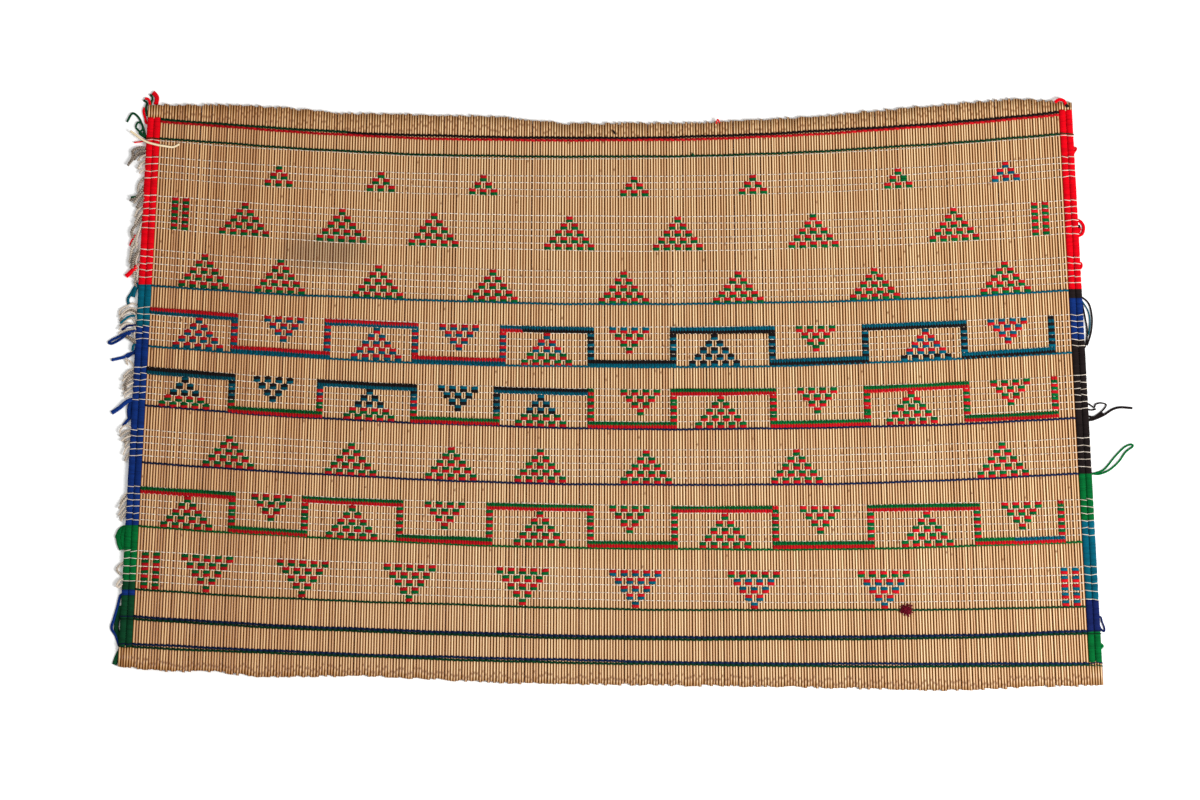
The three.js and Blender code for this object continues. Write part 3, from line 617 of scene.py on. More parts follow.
@dataclass
class Bundle:
    """Swept stems and yarns that are gathered into one mesh.

    Each point keeps two vectors for its material: strand is how far along the yarn it lies and
    the cosine and sine of its place around it, and tone is the yarn's chance and its knot.
    """

    points: list[np.ndarray] = field(default_factory=list)
    strand: list[np.ndarray] = field(default_factory=list)
    tone: list[np.ndarray] = field(default_factory=list)
    corners: list[np.ndarray] = field(default_factory=list)
    sizes: list[np.ndarray] = field(default_factory=list)
    count: int = 0
    chance_shift: float = 400.0  # how far apart two yarns' streaks may be taken

    def sweep(
        self,
        ways: np.ndarray,
        half_wide: np.ndarray | float,
        half_thick: np.ndarray | float,
        profile: Profile,
        chance: np.ndarray | float,
        wide: np.ndarray | None = None,
        closed: bool = False,
        knot: np.ndarray | float = 0.0,
    ) -> None:
        """Adds tubes along ways of equal count.

        Args:
            ways: Points by tube, place and axis.
            half_wide: Half the width, for all, or by tube and place.
            half_thick: Half the thickness, in the same way.
            profile: The section.
            chance: A number from 0 to 1 for each tube's own shade.
            wide: The way in which the section is wide; level and square to the tube if left out.
            closed: Whether each way closes on itself.
            knot: A number from 0 to 1 by tube and place, high at a stem's joints and ends.
        """
        tubes, places, _ = ways.shape
        if closed:
            tangent = np.roll(ways, -1, axis=1) - np.roll(ways, 1, axis=1)
        else:
            tangent = np.gradient(ways, axis=1)
        tangent /= np.linalg.norm(tangent, axis=2, keepdims=True)
        if wide is None:
            side = np.cross(UPWARDS, tangent)
        else:
            side = wide - tangent * (tangent @ wide)[..., None]
        side /= np.linalg.norm(side, axis=2, keepdims=True)
        normal = np.cross(tangent, side)
        angles = np.radians(np.array(profile.value))
        cosine, sine = np.cos(angles), np.sin(angles)
        across, through, knots = (
            np.broadcast_to(np.asarray(value, dtype=float), (tubes, places))
            for value in (half_wide, half_thick, knot)
        )
        rings = (
            ways[:, :, None]
            + side[:, :, None] * (across[..., None] * cosine)[..., None]
            + normal[:, :, None] * (through[..., None] * sine)[..., None]
        )
        reach = np.linalg.norm(np.diff(ways, axis=1), axis=2)
        along = np.concatenate([np.zeros((tubes, 1)), np.cumsum(reach, axis=1)], axis=1)
        chances = np.broadcast_to(np.asarray(chance, dtype=float), (tubes,))
        strand = np.empty(rings.shape)
        strand[..., 0] = (along + self.chance_shift * chances[:, None])[..., None]
        strand[..., 1] = cosine
        strand[..., 2] = sine
        tone = np.zeros(rings.shape)
        tone[..., 0] = chances[:, None, None]
        tone[..., 1] = knots[..., None]
        self.add_rings(rings, strand, tone, closed)

    def add_rings(
        self, rings: np.ndarray, strand: np.ndarray, tone: np.ndarray, closed: bool = False
    ) -> None:
        """Joins rings of points into tubes.

        Args:
            rings: Points by tube, place, corner and axis.
            strand: Each point's strand vector, in the same order.
            tone: Each point's tone vector, in the same order.
            closed: Whether a tube's last ring joins its first; if not, both ends are capped.
        """
        tubes, places, corners, _ = rings.shape
        index = self.count + np.arange(tubes * places * corners).reshape(tubes, places, corners)
        self.count += index.size
        onward = np.roll(index, -1, axis=1)
        here, ahead = (index, onward) if closed else (index[:, :-1], onward[:, :-1])
        quads = np.stack(
            [here, np.roll(here, -1, axis=2), np.roll(ahead, -1, axis=2), ahead], axis=-1
        )
        self.points.append(rings.reshape(-1, 3))
        self.strand.append(strand.reshape(-1, 3))
        self.tone.append(tone.reshape(-1, 3))
        self.corners.append(quads.ravel())
        self.sizes.append(np.full(quads.size // 4, 4))
        if not closed:
            caps = np.concatenate([index[:, 0, ::-1], index[:, -1]])
            self.corners.append(caps.ravel())
            self.sizes.append(np.full(len(caps), corners))

    def mesh(self, name: str) -> bpy.types.Mesh:
        """Makes the mesh, in metres in the mat's own frame.

        Args:
            name: Its name.

        Returns:
            The mesh.
        """
        points = (np.concatenate(self.points) - (MIDDLE_X, MIDDLE_Y, 0)) * MM
        corners = np.concatenate(self.corners)
        sizes = np.concatenate(self.sizes)
        mesh = bpy.data.meshes.new(name)
        mesh.vertices.add(len(points))
        mesh.vertices.foreach_set("co", points.ravel())
        mesh.loops.add(len(corners))
        mesh.loops.foreach_set("vertex_index", corners)
        mesh.polygons.add(len(sizes))
        mesh.polygons.foreach_set("loop_start", np.cumsum(sizes) - sizes)
        mesh.update(calc_edges=True)
        mesh.shade_smooth()
        for title, values in (("strand", self.strand), ("tone", self.tone)):
            layer = mesh.attributes.new(title, "FLOAT_VECTOR", "POINT")
            layer.data.foreach_set("vector", np.concatenate(values).ravel())
        return mesh

    def triangles(self) -> int:
        """How many triangles the mesh has."""
        return int(sum((sizes - 2).sum() for sizes in self.sizes))


def add_node(
    tree: bpy.types.NodeTree,
    kind: str,
    inputs: Sequence[object] | dict[str, object] = (),
    stops: Sequence[tuple[float, str]] = (),
    **settings: object,
) -> bpy.types.Node:
    """Adds a node with its settings and links.

    Args:
        tree: The material's node tree.
        kind: The node's type, without the words that each type begins with.
        inputs: Values, nodes and outputs, by name or in the order of the inputs in use. A node
            stands for its first output in use.
        stops: A ramp's places and sRGB hex colours.
        **settings: The node's properties.

    Returns:
        The node.
    """
    node = tree.nodes.new(f"ShaderNode{kind}")
    for name, value in settings.items():
        setattr(node, name, value)
    for place, (position, colour) in enumerate(stops):
        elements = node.color_ramp.elements
        element = elements[place] if place < 2 else elements.new(position)
        element.position = position
        element.color = linear(colour)
    if isinstance(inputs, dict):
        chosen = [(node.inputs[name], value) for name, value in inputs.items()]
    else:
        chosen = list(zip([entry for entry in node.inputs if entry.enabled], inputs))
    for entry, value in chosen:
        if isinstance(value, bpy.types.Node):
            value = next(output for output in value.outputs if output.enabled)
        if isinstance(value, bpy.types.NodeSocket):
            tree.links.new(value, entry)
        else:
            entry.default_value = value
    return node


@dataclass
class Strand:
    """What a material knows of its stem or yarn, from the two vectors that each point keeps.

    It has along, in millimetres, cosine and sine, for the place around, chance, for the yarn's
    own shade, and knot, which is high at a stem's joints and ends.
    """

    tree: bpy.types.NodeTree

    def __post_init__(self) -> None:
        """Takes the vectors apart."""
        place, tone = (
            add_node(self.tree, "SeparateXYZ", (
                add_node(self.tree, "Attribute", attribute_name=title).outputs["Vector"],
            )).outputs
            for title in ("strand", "tone")
        )
        self.along, self.cosine, self.sine = place
        self.chance, self.knot = tone[:2]

    def streaks(
        self, length: float, across: float, detail: float = 3.0, roughness: float = 0.6
    ) -> bpy.types.Node:
        """Noise that is drawn out along the stem or yarn.

        Args:
            length: About the length of a streak, in millimetres.
            across: About how many streaks lie side by side across the stem's or yarn's width.
            detail: The noise's detail.
            roughness: How strong its finer parts are.

        Returns:
            The noise.
        """
        vector = add_node(self.tree, "CombineXYZ", (
            add_node(self.tree, "Math", (self.along, length), operation="DIVIDE"),
            add_node(self.tree, "Math", (self.cosine, across / 2), operation="MULTIPLY"),
            add_node(self.tree, "Math", (self.sine, across / 2), operation="MULTIPLY"),
        ))
        return add_node(self.tree, "TexNoise", {
            "Vector": vector, "Scale": 1.0, "Detail": detail, "Roughness": roughness,
        })


def fading(
    tree: bpy.types.NodeTree, start: float, stop: float, share: float, curve: str = "LINEAR"
) -> bpy.types.Node:
    """A share that falls to nothing across the mat, from left to right.

    Args:
        tree: The material's node tree.
        start: The x up to which the share is whole.
        stop: The x from which there is none of it.
        share: The whole share.
        curve: Blender's name for the way it falls.

    Returns:
        The node that gives the share.
    """
    x = add_node(tree, "SeparateXYZ", (add_node(tree, "TexCoord").outputs["Object"],))
    edges = [(edge - MIDDLE_X) * MM for edge in (start, stop)]
    return add_node(tree, "MapRange", (x, *edges, share, 0.0), interpolation_type=curve)


@dataclass(frozen=True)
class Finish:
    """A real material and its surface; each kind adds its own nodes."""

    name: str

    def shader(self, tree: bpy.types.NodeTree) -> bpy.types.Node:
        """Adds the finish's nodes and returns its shader."""
        raise NotImplementedError

    def make(self) -> bpy.types.Material:
        """Makes the material.

        Returns:
            The material, with the finish's shader.
        """
        material = bpy.data.materials.new(self.name)
        material.use_nodes = True
        tree = material.node_tree
        tree.nodes.clear()
        add_node(tree, "OutputMaterial", {"Surface": self.shader(tree)})
        return material


@dataclass(frozen=True)
class DriedGrass(Finish):
    """Whole dried grass stems: smooth straw skin with a low gloss and a painted highlight on top.

    Each stem has its own tone and streaks about 60 mm long. It is brown at the joints and at the
    cut ends, and darker down in the hollow beside the next stem with painted shade. The stems at
    the left are darker, partly in the older stems' browner tone and partly in painted shade from
    the light that falls from the right, and a grey stain lies at the upper left. The fibres are
    really finer than 0.1 mm and are drawn 0.2 mm wide and 9 mm long, so that they show.
    """

    name: str = "dried_grass_stem"
    tones: tuple[str, ...] = ("#a56622", "#c28034", "#d6994b", "#e9bb70")
    fibre: str = "#c08f58"
    # The stem's painted highlight, along its top
    painted_highlight: str = "#eddcb8"
    # Painted shade in the hollow beside the next stem
    groove_shade: str = "#59320f"
    joint: str = "#7a4814"
    roughness: float = 0.36
    specular: float = 0.36
    streak_length: float = 60.0
    streaks_across: float = 2.0
    streak_share: float = 0.8
    chance_share: float = 0.46
    fibre_length: float = 9.0
    fibres_across: float = 14.0
    fibre_share: float = 0.35
    fibre_relief: float = 0.2
    relief_strength: float = 0.35
    highlight_reach: tuple[float, float] = (0.1, 0.38)  # shares of the way out from the stem's top
    highlight_by_tone: tuple[float, float] = (0.8, 0.3)  # a paler stem has a stronger painted highlight
    groove_shade_reach: tuple[float, float] = (0.32, 0.68)
    joint_least: float = 0.3
    stain: str = "#7c6a54"
    stain_place: tuple[float, float] = (-286.0, 143.0)
    stain_reach: tuple[float, float, float] = (53.0, 25.0, 60.0)
    stain_share: float = 0.6
    stain_fray: float = 0.8
    stain_edge: tuple[float, float] = (0.7, 1.6)
    # Darker towards the left: older stems' browner tone, and painted shade of light from the right
    age_and_shade_share: float = 0.2
    age_and_shade_tint: str = "#fffaf0"
    age_and_shade_span: tuple[float, float] = (-400.0, -120.0)

    def stained(self, tree: bpy.types.NodeTree, streak: bpy.types.Node) -> bpy.types.Node:
        """How grey the skin is: a soft patch at the upper left.

        Args:
            tree: The material's node tree.
            streak: Noise that frays the patch's edge.

        Returns:
            The node that gives the share.
        """
        x, y = self.stain_place
        middle = ((x - MIDDLE_X) * MM, (y - MIDDLE_Y) * MM, 0.0)
        place = add_node(tree, "TexCoord").outputs["Object"]
        offset = add_node(tree, "VectorMath", (place, middle), operation="SUBTRACT")
        reach = tuple(size * MM for size in self.stain_reach)
        shrunk = add_node(tree, "VectorMath", (offset, reach), operation="DIVIDE")
        length = add_node(tree, "VectorMath", (shrunk,), operation="LENGTH")
        frayed = add_node(
            tree, "Math", (streak, self.stain_fray, length), operation="MULTIPLY_ADD"
        )
        return add_node(
            tree, "MapRange", (frayed, *self.stain_edge, self.stain_share, 0.0),
            interpolation_type="SMOOTHSTEP",
        )

    def shader(self, tree: bpy.types.NodeTree) -> bpy.types.Node:
        """Adds the skin's tone and the layers over it.

        Args:
            tree: The material's node tree.

        Returns:
            The shader.
        """
        strand = Strand(tree)
        streak = strand.streaks(self.streak_length, self.streaks_across)
        fibre = strand.streaks(self.fibre_length, self.fibres_across)
        own = (strand.chance, self.chance_share, 0.5 - self.chance_share / 2)
        tone = add_node(tree, "Math", own, operation="MULTIPLY_ADD")
        varied = add_node(tree, "Math", (streak, 0.5), operation="SUBTRACT")
        tone = add_node(tree, "Math", (varied, self.streak_share, tone), operation="MULTIPLY_ADD")
        # Darker towards the left: older stems' browner tone, and painted shade of light from the
        # right
        age_and_shade = fading(tree, *self.age_and_shade_span, self.age_and_shade_share, "SMOOTHSTEP")
        tone = add_node(tree, "Math", (tone, age_and_shade), operation="SUBTRACT")
        last = len(self.tones) - 1
        stops = [(place / last, colour) for place, colour in enumerate(self.tones)]
        skin = add_node(tree, "ValToRGB", (tone,), stops)
        off_crest = add_node(tree, "Math", (strand.cosine,), operation="ABSOLUTE")
        on_highlight, in_groove_shade = (
            add_node(
                tree, "MapRange", (off_crest, *reach, *shares), interpolation_type="SMOOTHSTEP"
            )
            for reach, shares in ((self.highlight_reach, (1.0, 0.0)), (self.groove_shade_reach, (0.0, 1.0)))
        )
        highlight_strength = add_node(tree, "Math", (tone, *self.highlight_by_tone), operation="MULTIPLY_ADD")
        browner = add_node(tree, "Math", (streak, self.joint_least), operation="ADD")
        # Each layer over the skin: how it blends, where it lies, how strongly, and its colour
        layers = (
            ("MULTIPLY", fibre, self.fibre_share, self.fibre),
            # Painted highlight along the stem's top, stronger on a paler stem
            ("MIX", on_highlight, highlight_strength, self.painted_highlight),
            ("MIX", self.stained(tree, streak), 1.0, self.stain),
            ("MIX", strand.knot, browner, self.joint),
            # Painted shade in the hollow beside the next stem
            ("MIX", in_groove_shade, 1.0, self.groove_shade),
            # Painted shade towards the left, with the older stems' browner tone
            ("MULTIPLY", age_and_shade, 1 / self.age_and_shade_share, self.age_and_shade_tint),
        )
        for blend, place, strength, colour in layers:
            share = add_node(tree, "Math", (place, strength), operation="MULTIPLY")
            skin = add_node(
                tree, "Mix", (share, skin, linear(colour)), data_type="RGBA", blend_type=blend
            )
        bump = add_node(tree, "Bump", {
            "Strength": self.relief_strength, "Distance": self.fibre_relief * MM,
            "Height": fibre,
        })
        return add_node(tree, "BsdfPrincipled", {
            "Base Color": skin, "Roughness": self.roughness,
            "Specular IOR Level": self.specular, "Normal": bump,
        })


@dataclass(frozen=True)
class TwistedYarn(Finish):
    """Two-ply yarn: matt fibres with a soft sheen, and painted shade in the hollow between the
    plies.

    The ply's real pitch is about 3 mm in the wool and 2 mm in the thread. The fibres are drawn
    at about 0.5 mm, several times their real 0.03 mm, so that they show. Worn yarn has painted
    shade, which darkens it towards the left selvedge, as the light falls from the right.
    """

    light: str
    dark: str
    ply_pitch: float = 3.2
    # How much painted shade lies in the hollow between the plies
    ply_share: float = 0.45
    fibre_length: float = 0.9
    fibres_across: float = 5.0
    fibre_detail: float = 4.0
    fibre_share: float = 0.6
    patch_length: float = 22.0
    patches_across: float = 1.0
    patch_detail: float = 2.0
    patch_share: float = 0.7
    chance_share: float = 0.25
    stops: tuple[float, float] = (0.15, 0.75)
    relief: float = 0.25
    relief_strength: float = 0.6
    relief_shares: tuple[float, float] = (0.5, 0.5)
    sheen: float = 0.04
    sheen_roughness: float = 0.5
    roughness: float = 0.95
    specular: float = 0.08
    # Painted shade towards the left selvedge, as the light falls from the right
    left_shade: str = ""
    left_shade_span: tuple[float, float] = (-452.5, 311.5)

    def shader(self, tree: bpy.types.NodeTree) -> bpy.types.Node:
        """Adds the plies, the fibres and the patches of wear.

        Args:
            tree: The material's node tree.

        Returns:
            The shader.
        """
        strand = Strand(tree)
        turns = (strand.along, 2 * math.pi / self.ply_pitch)
        phase = add_node(tree, "Math", turns, operation="MULTIPLY")
        turned = [
            add_node(tree, "Math", (place, add_node(tree, "Math", (phase,), operation=wave)),
                     operation="MULTIPLY")
            for place, wave in ((strand.cosine, "COSINE"), (strand.sine, "SINE"))
        ]
        across = add_node(tree, "Math", turned, operation="ADD")
        ply = add_node(tree, "Math", (across,), operation="ABSOLUTE")
        fibre = strand.streaks(self.fibre_length, self.fibres_across, self.fibre_detail)
        patch = strand.streaks(self.patch_length, self.patches_across, self.patch_detail)
        # Tone: fibres and painted shade in the hollow between the plies; height: the same as relief
        height, tone = (
            add_node(
                tree, "Math",
                (fibre, fibre_share, add_node(tree, "Math", (ply, share), operation="MULTIPLY")),
                operation="MULTIPLY_ADD",
            )
            for fibre_share, share in (self.relief_shares, (self.fibre_share, self.ply_share))
        )
        for varied, share in ((patch, self.patch_share), (strand.chance, self.chance_share)):
            centred = add_node(tree, "Math", (varied, 0.5), operation="SUBTRACT")
            tone = add_node(tree, "Math", (centred, share, tone), operation="MULTIPLY_ADD")
        stops = tuple(zip(self.stops, (self.dark, self.light)))
        colour = add_node(tree, "ValToRGB", (tone,), stops)
        # Painted shade: darker towards the left selvedge, as the light falls from the right
        if self.left_shade:
            colour = add_node(
                tree, "Mix", (fading(tree, *self.left_shade_span, 1.0), colour, linear(self.left_shade)),
                data_type="RGBA", blend_type="MULTIPLY",
            )
        bump = add_node(tree, "Bump", {
            "Strength": self.relief_strength, "Distance": self.relief * MM, "Height": height,
        })
        return add_node(tree, "BsdfPrincipled", {
            "Base Color": colour, "Roughness": self.roughness,
            "Specular IOR Level": self.specular, "Sheen Weight": self.sheen,
            "Sheen Roughness": self.sheen_roughness, "Sheen Tint": linear(self.light),
            "Normal": bump,
        })


@dataclass(frozen=True)
class SplitStraw(Finish):
    """A flat split straw: pale, with a low gloss and fibres 14 mm long."""

    name: str = "split_straw"
    stops: tuple[tuple[float, str], ...] = ((0.25, "#d3b98a"), (0.7, "#efdfbf"))
    roughness: float = 0.45
    fibre_length: float = 14.0
    fibres_across: float = 8.0
    relief: float = 0.15
    relief_strength: float = 0.3

    def shader(self, tree: bpy.types.NodeTree) -> bpy.types.Node:
        """Adds the fibres.

        Args:
            tree: The material's node tree.

        Returns:
            The shader.
        """
        fibre = Strand(tree).streaks(self.fibre_length, self.fibres_across)
        bump = add_node(tree, "Bump", {
            "Strength": self.relief_strength, "Distance": self.relief * MM, "Height": fibre,
        })
        return add_node(tree, "BsdfPrincipled", {
            "Base Color": add_node(tree, "ValToRGB", (fibre,), self.stops),
            "Roughness": self.roughness, "Normal": bump,
        })


@dataclass(frozen=True)
class PaintedBoard(Finish):
    """The studio's floor: a matt white painted board with a faint mottle, three to a metre."""

    name: str = "matt_white_board"
    stops: tuple[tuple[float, str], ...] = ((0.3, "#fdfdfc"), (0.7, "#ffffff"))
    roughness: float = 0.9
    specular: float = 0.1
    mottle_scale: float = 3.0
    mottle_detail: float = 2.0

    def shader(self, tree: bpy.types.NodeTree) -> bpy.types.Node:
        """Adds the mottle.

        Args:
            tree: The material's node tree.

        Returns:
            The shader.
        """
        mottle = add_node(tree, "TexNoise", {
            "Vector": add_node(tree, "TexCoord").outputs["Object"],
            "Scale": self.mottle_scale, "Detail": self.mottle_detail,
        })
        return add_node(tree, "BsdfPrincipled", {
            "Base Color": add_node(tree, "ValToRGB", (mottle,), self.stops),
            "Roughness": self.roughness, "Specular IOR Level": self.specular,
        })


YARNS = {
    wool: TwistedYarn(f"dyed_wool_{wool.value}", light, dark)
    for wool, light, dark in (
        (Wool.RED, "#e60014", "#98000c"),
        (Wool.DARK_GREEN, "#0a4225", "#041c10"),
        (Wool.GREEN, "#00692f", "#003416"),
        (Wool.TEAL, "#005e74", "#022e3a"),
        (Wool.BLUE, "#0e2f74", "#06143c"),
        (Wool.NAVY, "#15235e", "#080c2c"),
        (Wool.BLACK, "#221a1a", "#0a0707"),
        (Wool.DARK_RED, "#701024", "#28040c"),
    )
}
YARNS[Wool.UNDYED] = TwistedYarn("undyed_cotton_thread", "#eee4d6", "#a48f7a", ply_pitch=2.0)
# Its dark end is soiled thread, and also painted shadow under the bunches of cut ends
YARNS[Wool.SOILED_AND_SHADOWED] = TwistedYarn(
    "soiled_shadowed_cotton_thread", "#d0c2b2", "#46382d", ply_pitch=3.0, chance_share=0.75
)

# Wool that lies across the field is worn, and has painted shade towards the left from the light
# that falls from the right; these are its other colours there and the painted shade's tint
WORN_COLOURS = {Wool.RED: ("#cc1420", "#860a10"), Wool.NAVY: ("#14264c", "#0a1228")}
LEFT_SHADE = "#d3cbc6"


@dataclass
class Workshop:
    """Makes each piece from its bundle, dresses it and ties it to the frame."""

    materials: dict[str, bpy.types.Material] = field(default_factory=dict)
    pieces: list[bpy.types.Object] = field(default_factory=list)
    triangles: int = 0

    def yarn(self, wool: Wool, worn: bool) -> bpy.types.Material:
        """The material of a wool, made once.

        Args:
            wool: The wool.
            worn: Whether it lies across the field: worn, with painted shade to the left.

        Returns:
            The material.
        """
        finish = YARNS[wool]
        if worn:
            light, dark = WORN_COLOURS.get(wool, (finish.light, finish.dark))
            finish = replace(finish, name=f"worn_{finish.name}", light=light, dark=dark, left_shade=LEFT_SHADE)
        if finish.name not in self.materials:
            self.materials[finish.name] = finish.make()
        return self.materials[finish.name]

    def piece(
        self,
        name: str,
        bundle: Bundle,
        material: bpy.types.Material,
        slot: str,
        nodes: Sequence[str] = (),
    ) -> bpy.types.Object:
        """Makes a piece.

        Args:
            name: Its name.
            bundle: Its stems or yarns.
            material: Its finish.
            slot: The record's material slot; not used.
            nodes: The solids that it stands for.

        Returns:
            The object.
        """
        piece = bpy.data.objects.new(name, bundle.mesh(name))
        bpy.context.collection.objects.link(piece)
        piece.data.materials.append(material)
        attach(piece, BODY)
        if nodes:
            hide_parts(*nodes)
        self.pieces.append(piece)
        self.triangles += bundle.triangles()
        LOG.info("%s: %d triangles", name, bundle.triangles())
        return piece

    def wool_piece(
        self,
        name: str,
        bundle: Bundle,
        wool: Wool,
        nodes: Sequence[str] = (),
        worn: bool = False,
    ) -> None:
        """Makes a piece of one yarn, with its wool's material.

        Args:
            name: Its name.
            bundle: Its yarns.
            wool: Their wool.
            nodes: The solids that it stands for.
            worn: Whether the wool is worn, with painted shade to the left.
        """
        slot = "thread" if wool in THREADS else f"wool_{wool.value}"
        self.piece(name, bundle, self.yarn(wool, worn), slot, nodes)


@dataclass
class ReedField:
    """The stems: 336 between the selvedges and five in each, which show as bare stubs."""

    seed: int = 11
    jitter: float = 0.05  # a share of a stem's pitch
    cut_variation: float = 1.2
    stub_variation: float = 0.4
    plain_rings: int = 7
    stub_rings: int = 3
    stub_hidden: float = 1.0  # a stub goes this far into the winding
    overlap: float = 1.11  # a stem is this much wider than its pitch
    thickness: tuple[float, float] = (0.96, 1.04)
    sway: float = 0.25
    lean_share: float = 0.6
    bow_length: float = 3.1
    bow_shift: float = 6.0
    low_joint: tuple[float, float] = (3.5, 11.0)
    middle_joint: tuple[float, float] = (-200.0, 240.0)
    high_joint: tuple[float, float] = (3.5, 18.0)
    joint_reach: float = 2.2
    joint_swelling: float = 1.09
    joint_ring: float = 0.1  # a ring this near to a joint is the joint's own
    brown_reach: float = 3.0
    foot_brown: float = 0.7
    head_brown: float = 0.5

    def stem_place(self, place: int, rng: random.Random) -> tuple[float, float]:
        """Where a stem stands.

        Args:
            place: Its count from the left selvedge; edge stems count outside the field.
            rng: The source of chance.

        Returns:
            Its place across the field, and how far to the right of the field's edge it lies,
            which is 0 for a stem in the field.
        """
        if 0 <= place < FIELD_STEMS:
            return (place + 0.5 + rng.uniform(-self.jitter, self.jitter)) / FIELD_STEMS, 0.0
        outward = place + 0.5 if place < 0 else place - FIELD_STEMS + 0.5
        return (place + 0.5) / FIELD_STEMS, outward * SELVEDGE_WIDTH / EDGE_STEMS

    def cut_height(
        self, edge: Sequence[tuple[float, float]], across: float, spread: float, rng: random.Random
    ) -> float:
        """Height of a stem's cut end.

        Args:
            edge: The field's top or bottom edge.
            across: The stem's place across the field.
            spread: How far the height may vary.
            rng: The source of chance.

        Returns:
            The height.
        """
        places, heights = zip(*edge)
        return float(np.interp(across, places, heights)) + rng.uniform(-spread, spread)

    def sweep_stem(self, bundle: Bundle, place: int, rng: random.Random) -> None:
        """Adds one stem, with its joints, to a bundle; an edge stem is only its two stubs.

        Args:
            bundle: What it is added to.
            place: Its count from the left selvedge.
            rng: The source of chance.
        """
        across, beyond = self.stem_place(place, rng)
        spread = self.stub_variation if beyond else self.cut_variation
        top = self.cut_height(TOP_EDGE, across, spread, rng)
        bottom = self.cut_height(BOTTOM_EDGE, across, spread, rng)
        spans = [(bottom, top)]
        if beyond:
            wound_top, wound_bottom = wound_span(-1 if beyond < 0 else 1)
            spans = [(bottom, wound_bottom + self.stub_hidden), (wound_top - self.stub_hidden, top)]
        chance = rng.random()
        # The third draw is spare, and the draws after it depend on it
        bow, lean, _ = (rng.uniform(-self.sway, self.sway) for _ in range(3))
        thin = rng.uniform(*self.thickness)
        joints = [
            bottom + rng.uniform(*self.low_joint),
            rng.uniform(*self.middle_joint),
            top - rng.uniform(*self.high_joint),
        ]
        for low, high in spans:
            if beyond:
                heights = np.linspace(low, high, self.stub_rings)
                pitch = SELVEDGE_WIDTH / EDGE_STEMS
                offset = beyond
            else:
                knees = [
                    joint + shift
                    for joint in joints
                    for shift in (-self.joint_reach, 0.0, self.joint_reach)
                ]
                heights = np.array(sorted([*np.linspace(low, high, self.plain_rings), *knees]))
                pitch = 2 * half_width(heights) / FIELD_STEMS
                share = (heights - bottom) / (top - bottom)
                offset = bow * np.sin(self.bow_length * share + self.bow_shift * chance)
                offset = offset + lean * share * self.lean_share
            near = np.min([np.abs(heights - joint) for joint in joints], axis=0)
            at_joint = near < self.joint_ring
            thick = thin * np.where(at_joint, self.joint_swelling, 1.0)
            knot = np.max([
                at_joint.astype(float),
                self.foot_brown * np.exp(-(heights - bottom) / self.brown_reach),
                self.head_brown * np.exp(-(top - heights) / self.brown_reach),
            ], axis=0)
            x = field_x(min(max(across, 0.0), 1.0), heights) + offset
            way = np.stack([x, heights, np.full(len(heights), STEM_Z)], axis=1)
            half_wide = pitch / 2 * self.overlap * thick
            bundle.sweep(
                way[None], half_wide[None], (STEM_RISE * thick)[None], Profile.STEM, chance,
                wide=-ALONG_X, knot=knot[None],
            )

    def build(self, workshop: Workshop) -> bpy.types.Object:
        """Builds the stems and stands them in for the ribbed slab.

        Args:
            workshop: What makes the piece.

        Returns:
            The stems' object.
        """
        rng = random.Random(self.seed)
        bundle = Bundle()
        for place in range(-EDGE_STEMS, FIELD_STEMS + EDGE_STEMS):
            self.sweep_stem(bundle, place, rng)
        material = DriedGrass().make()
        return workshop.piece("reed_stems", bundle, material, "reed", ["reed_field"])


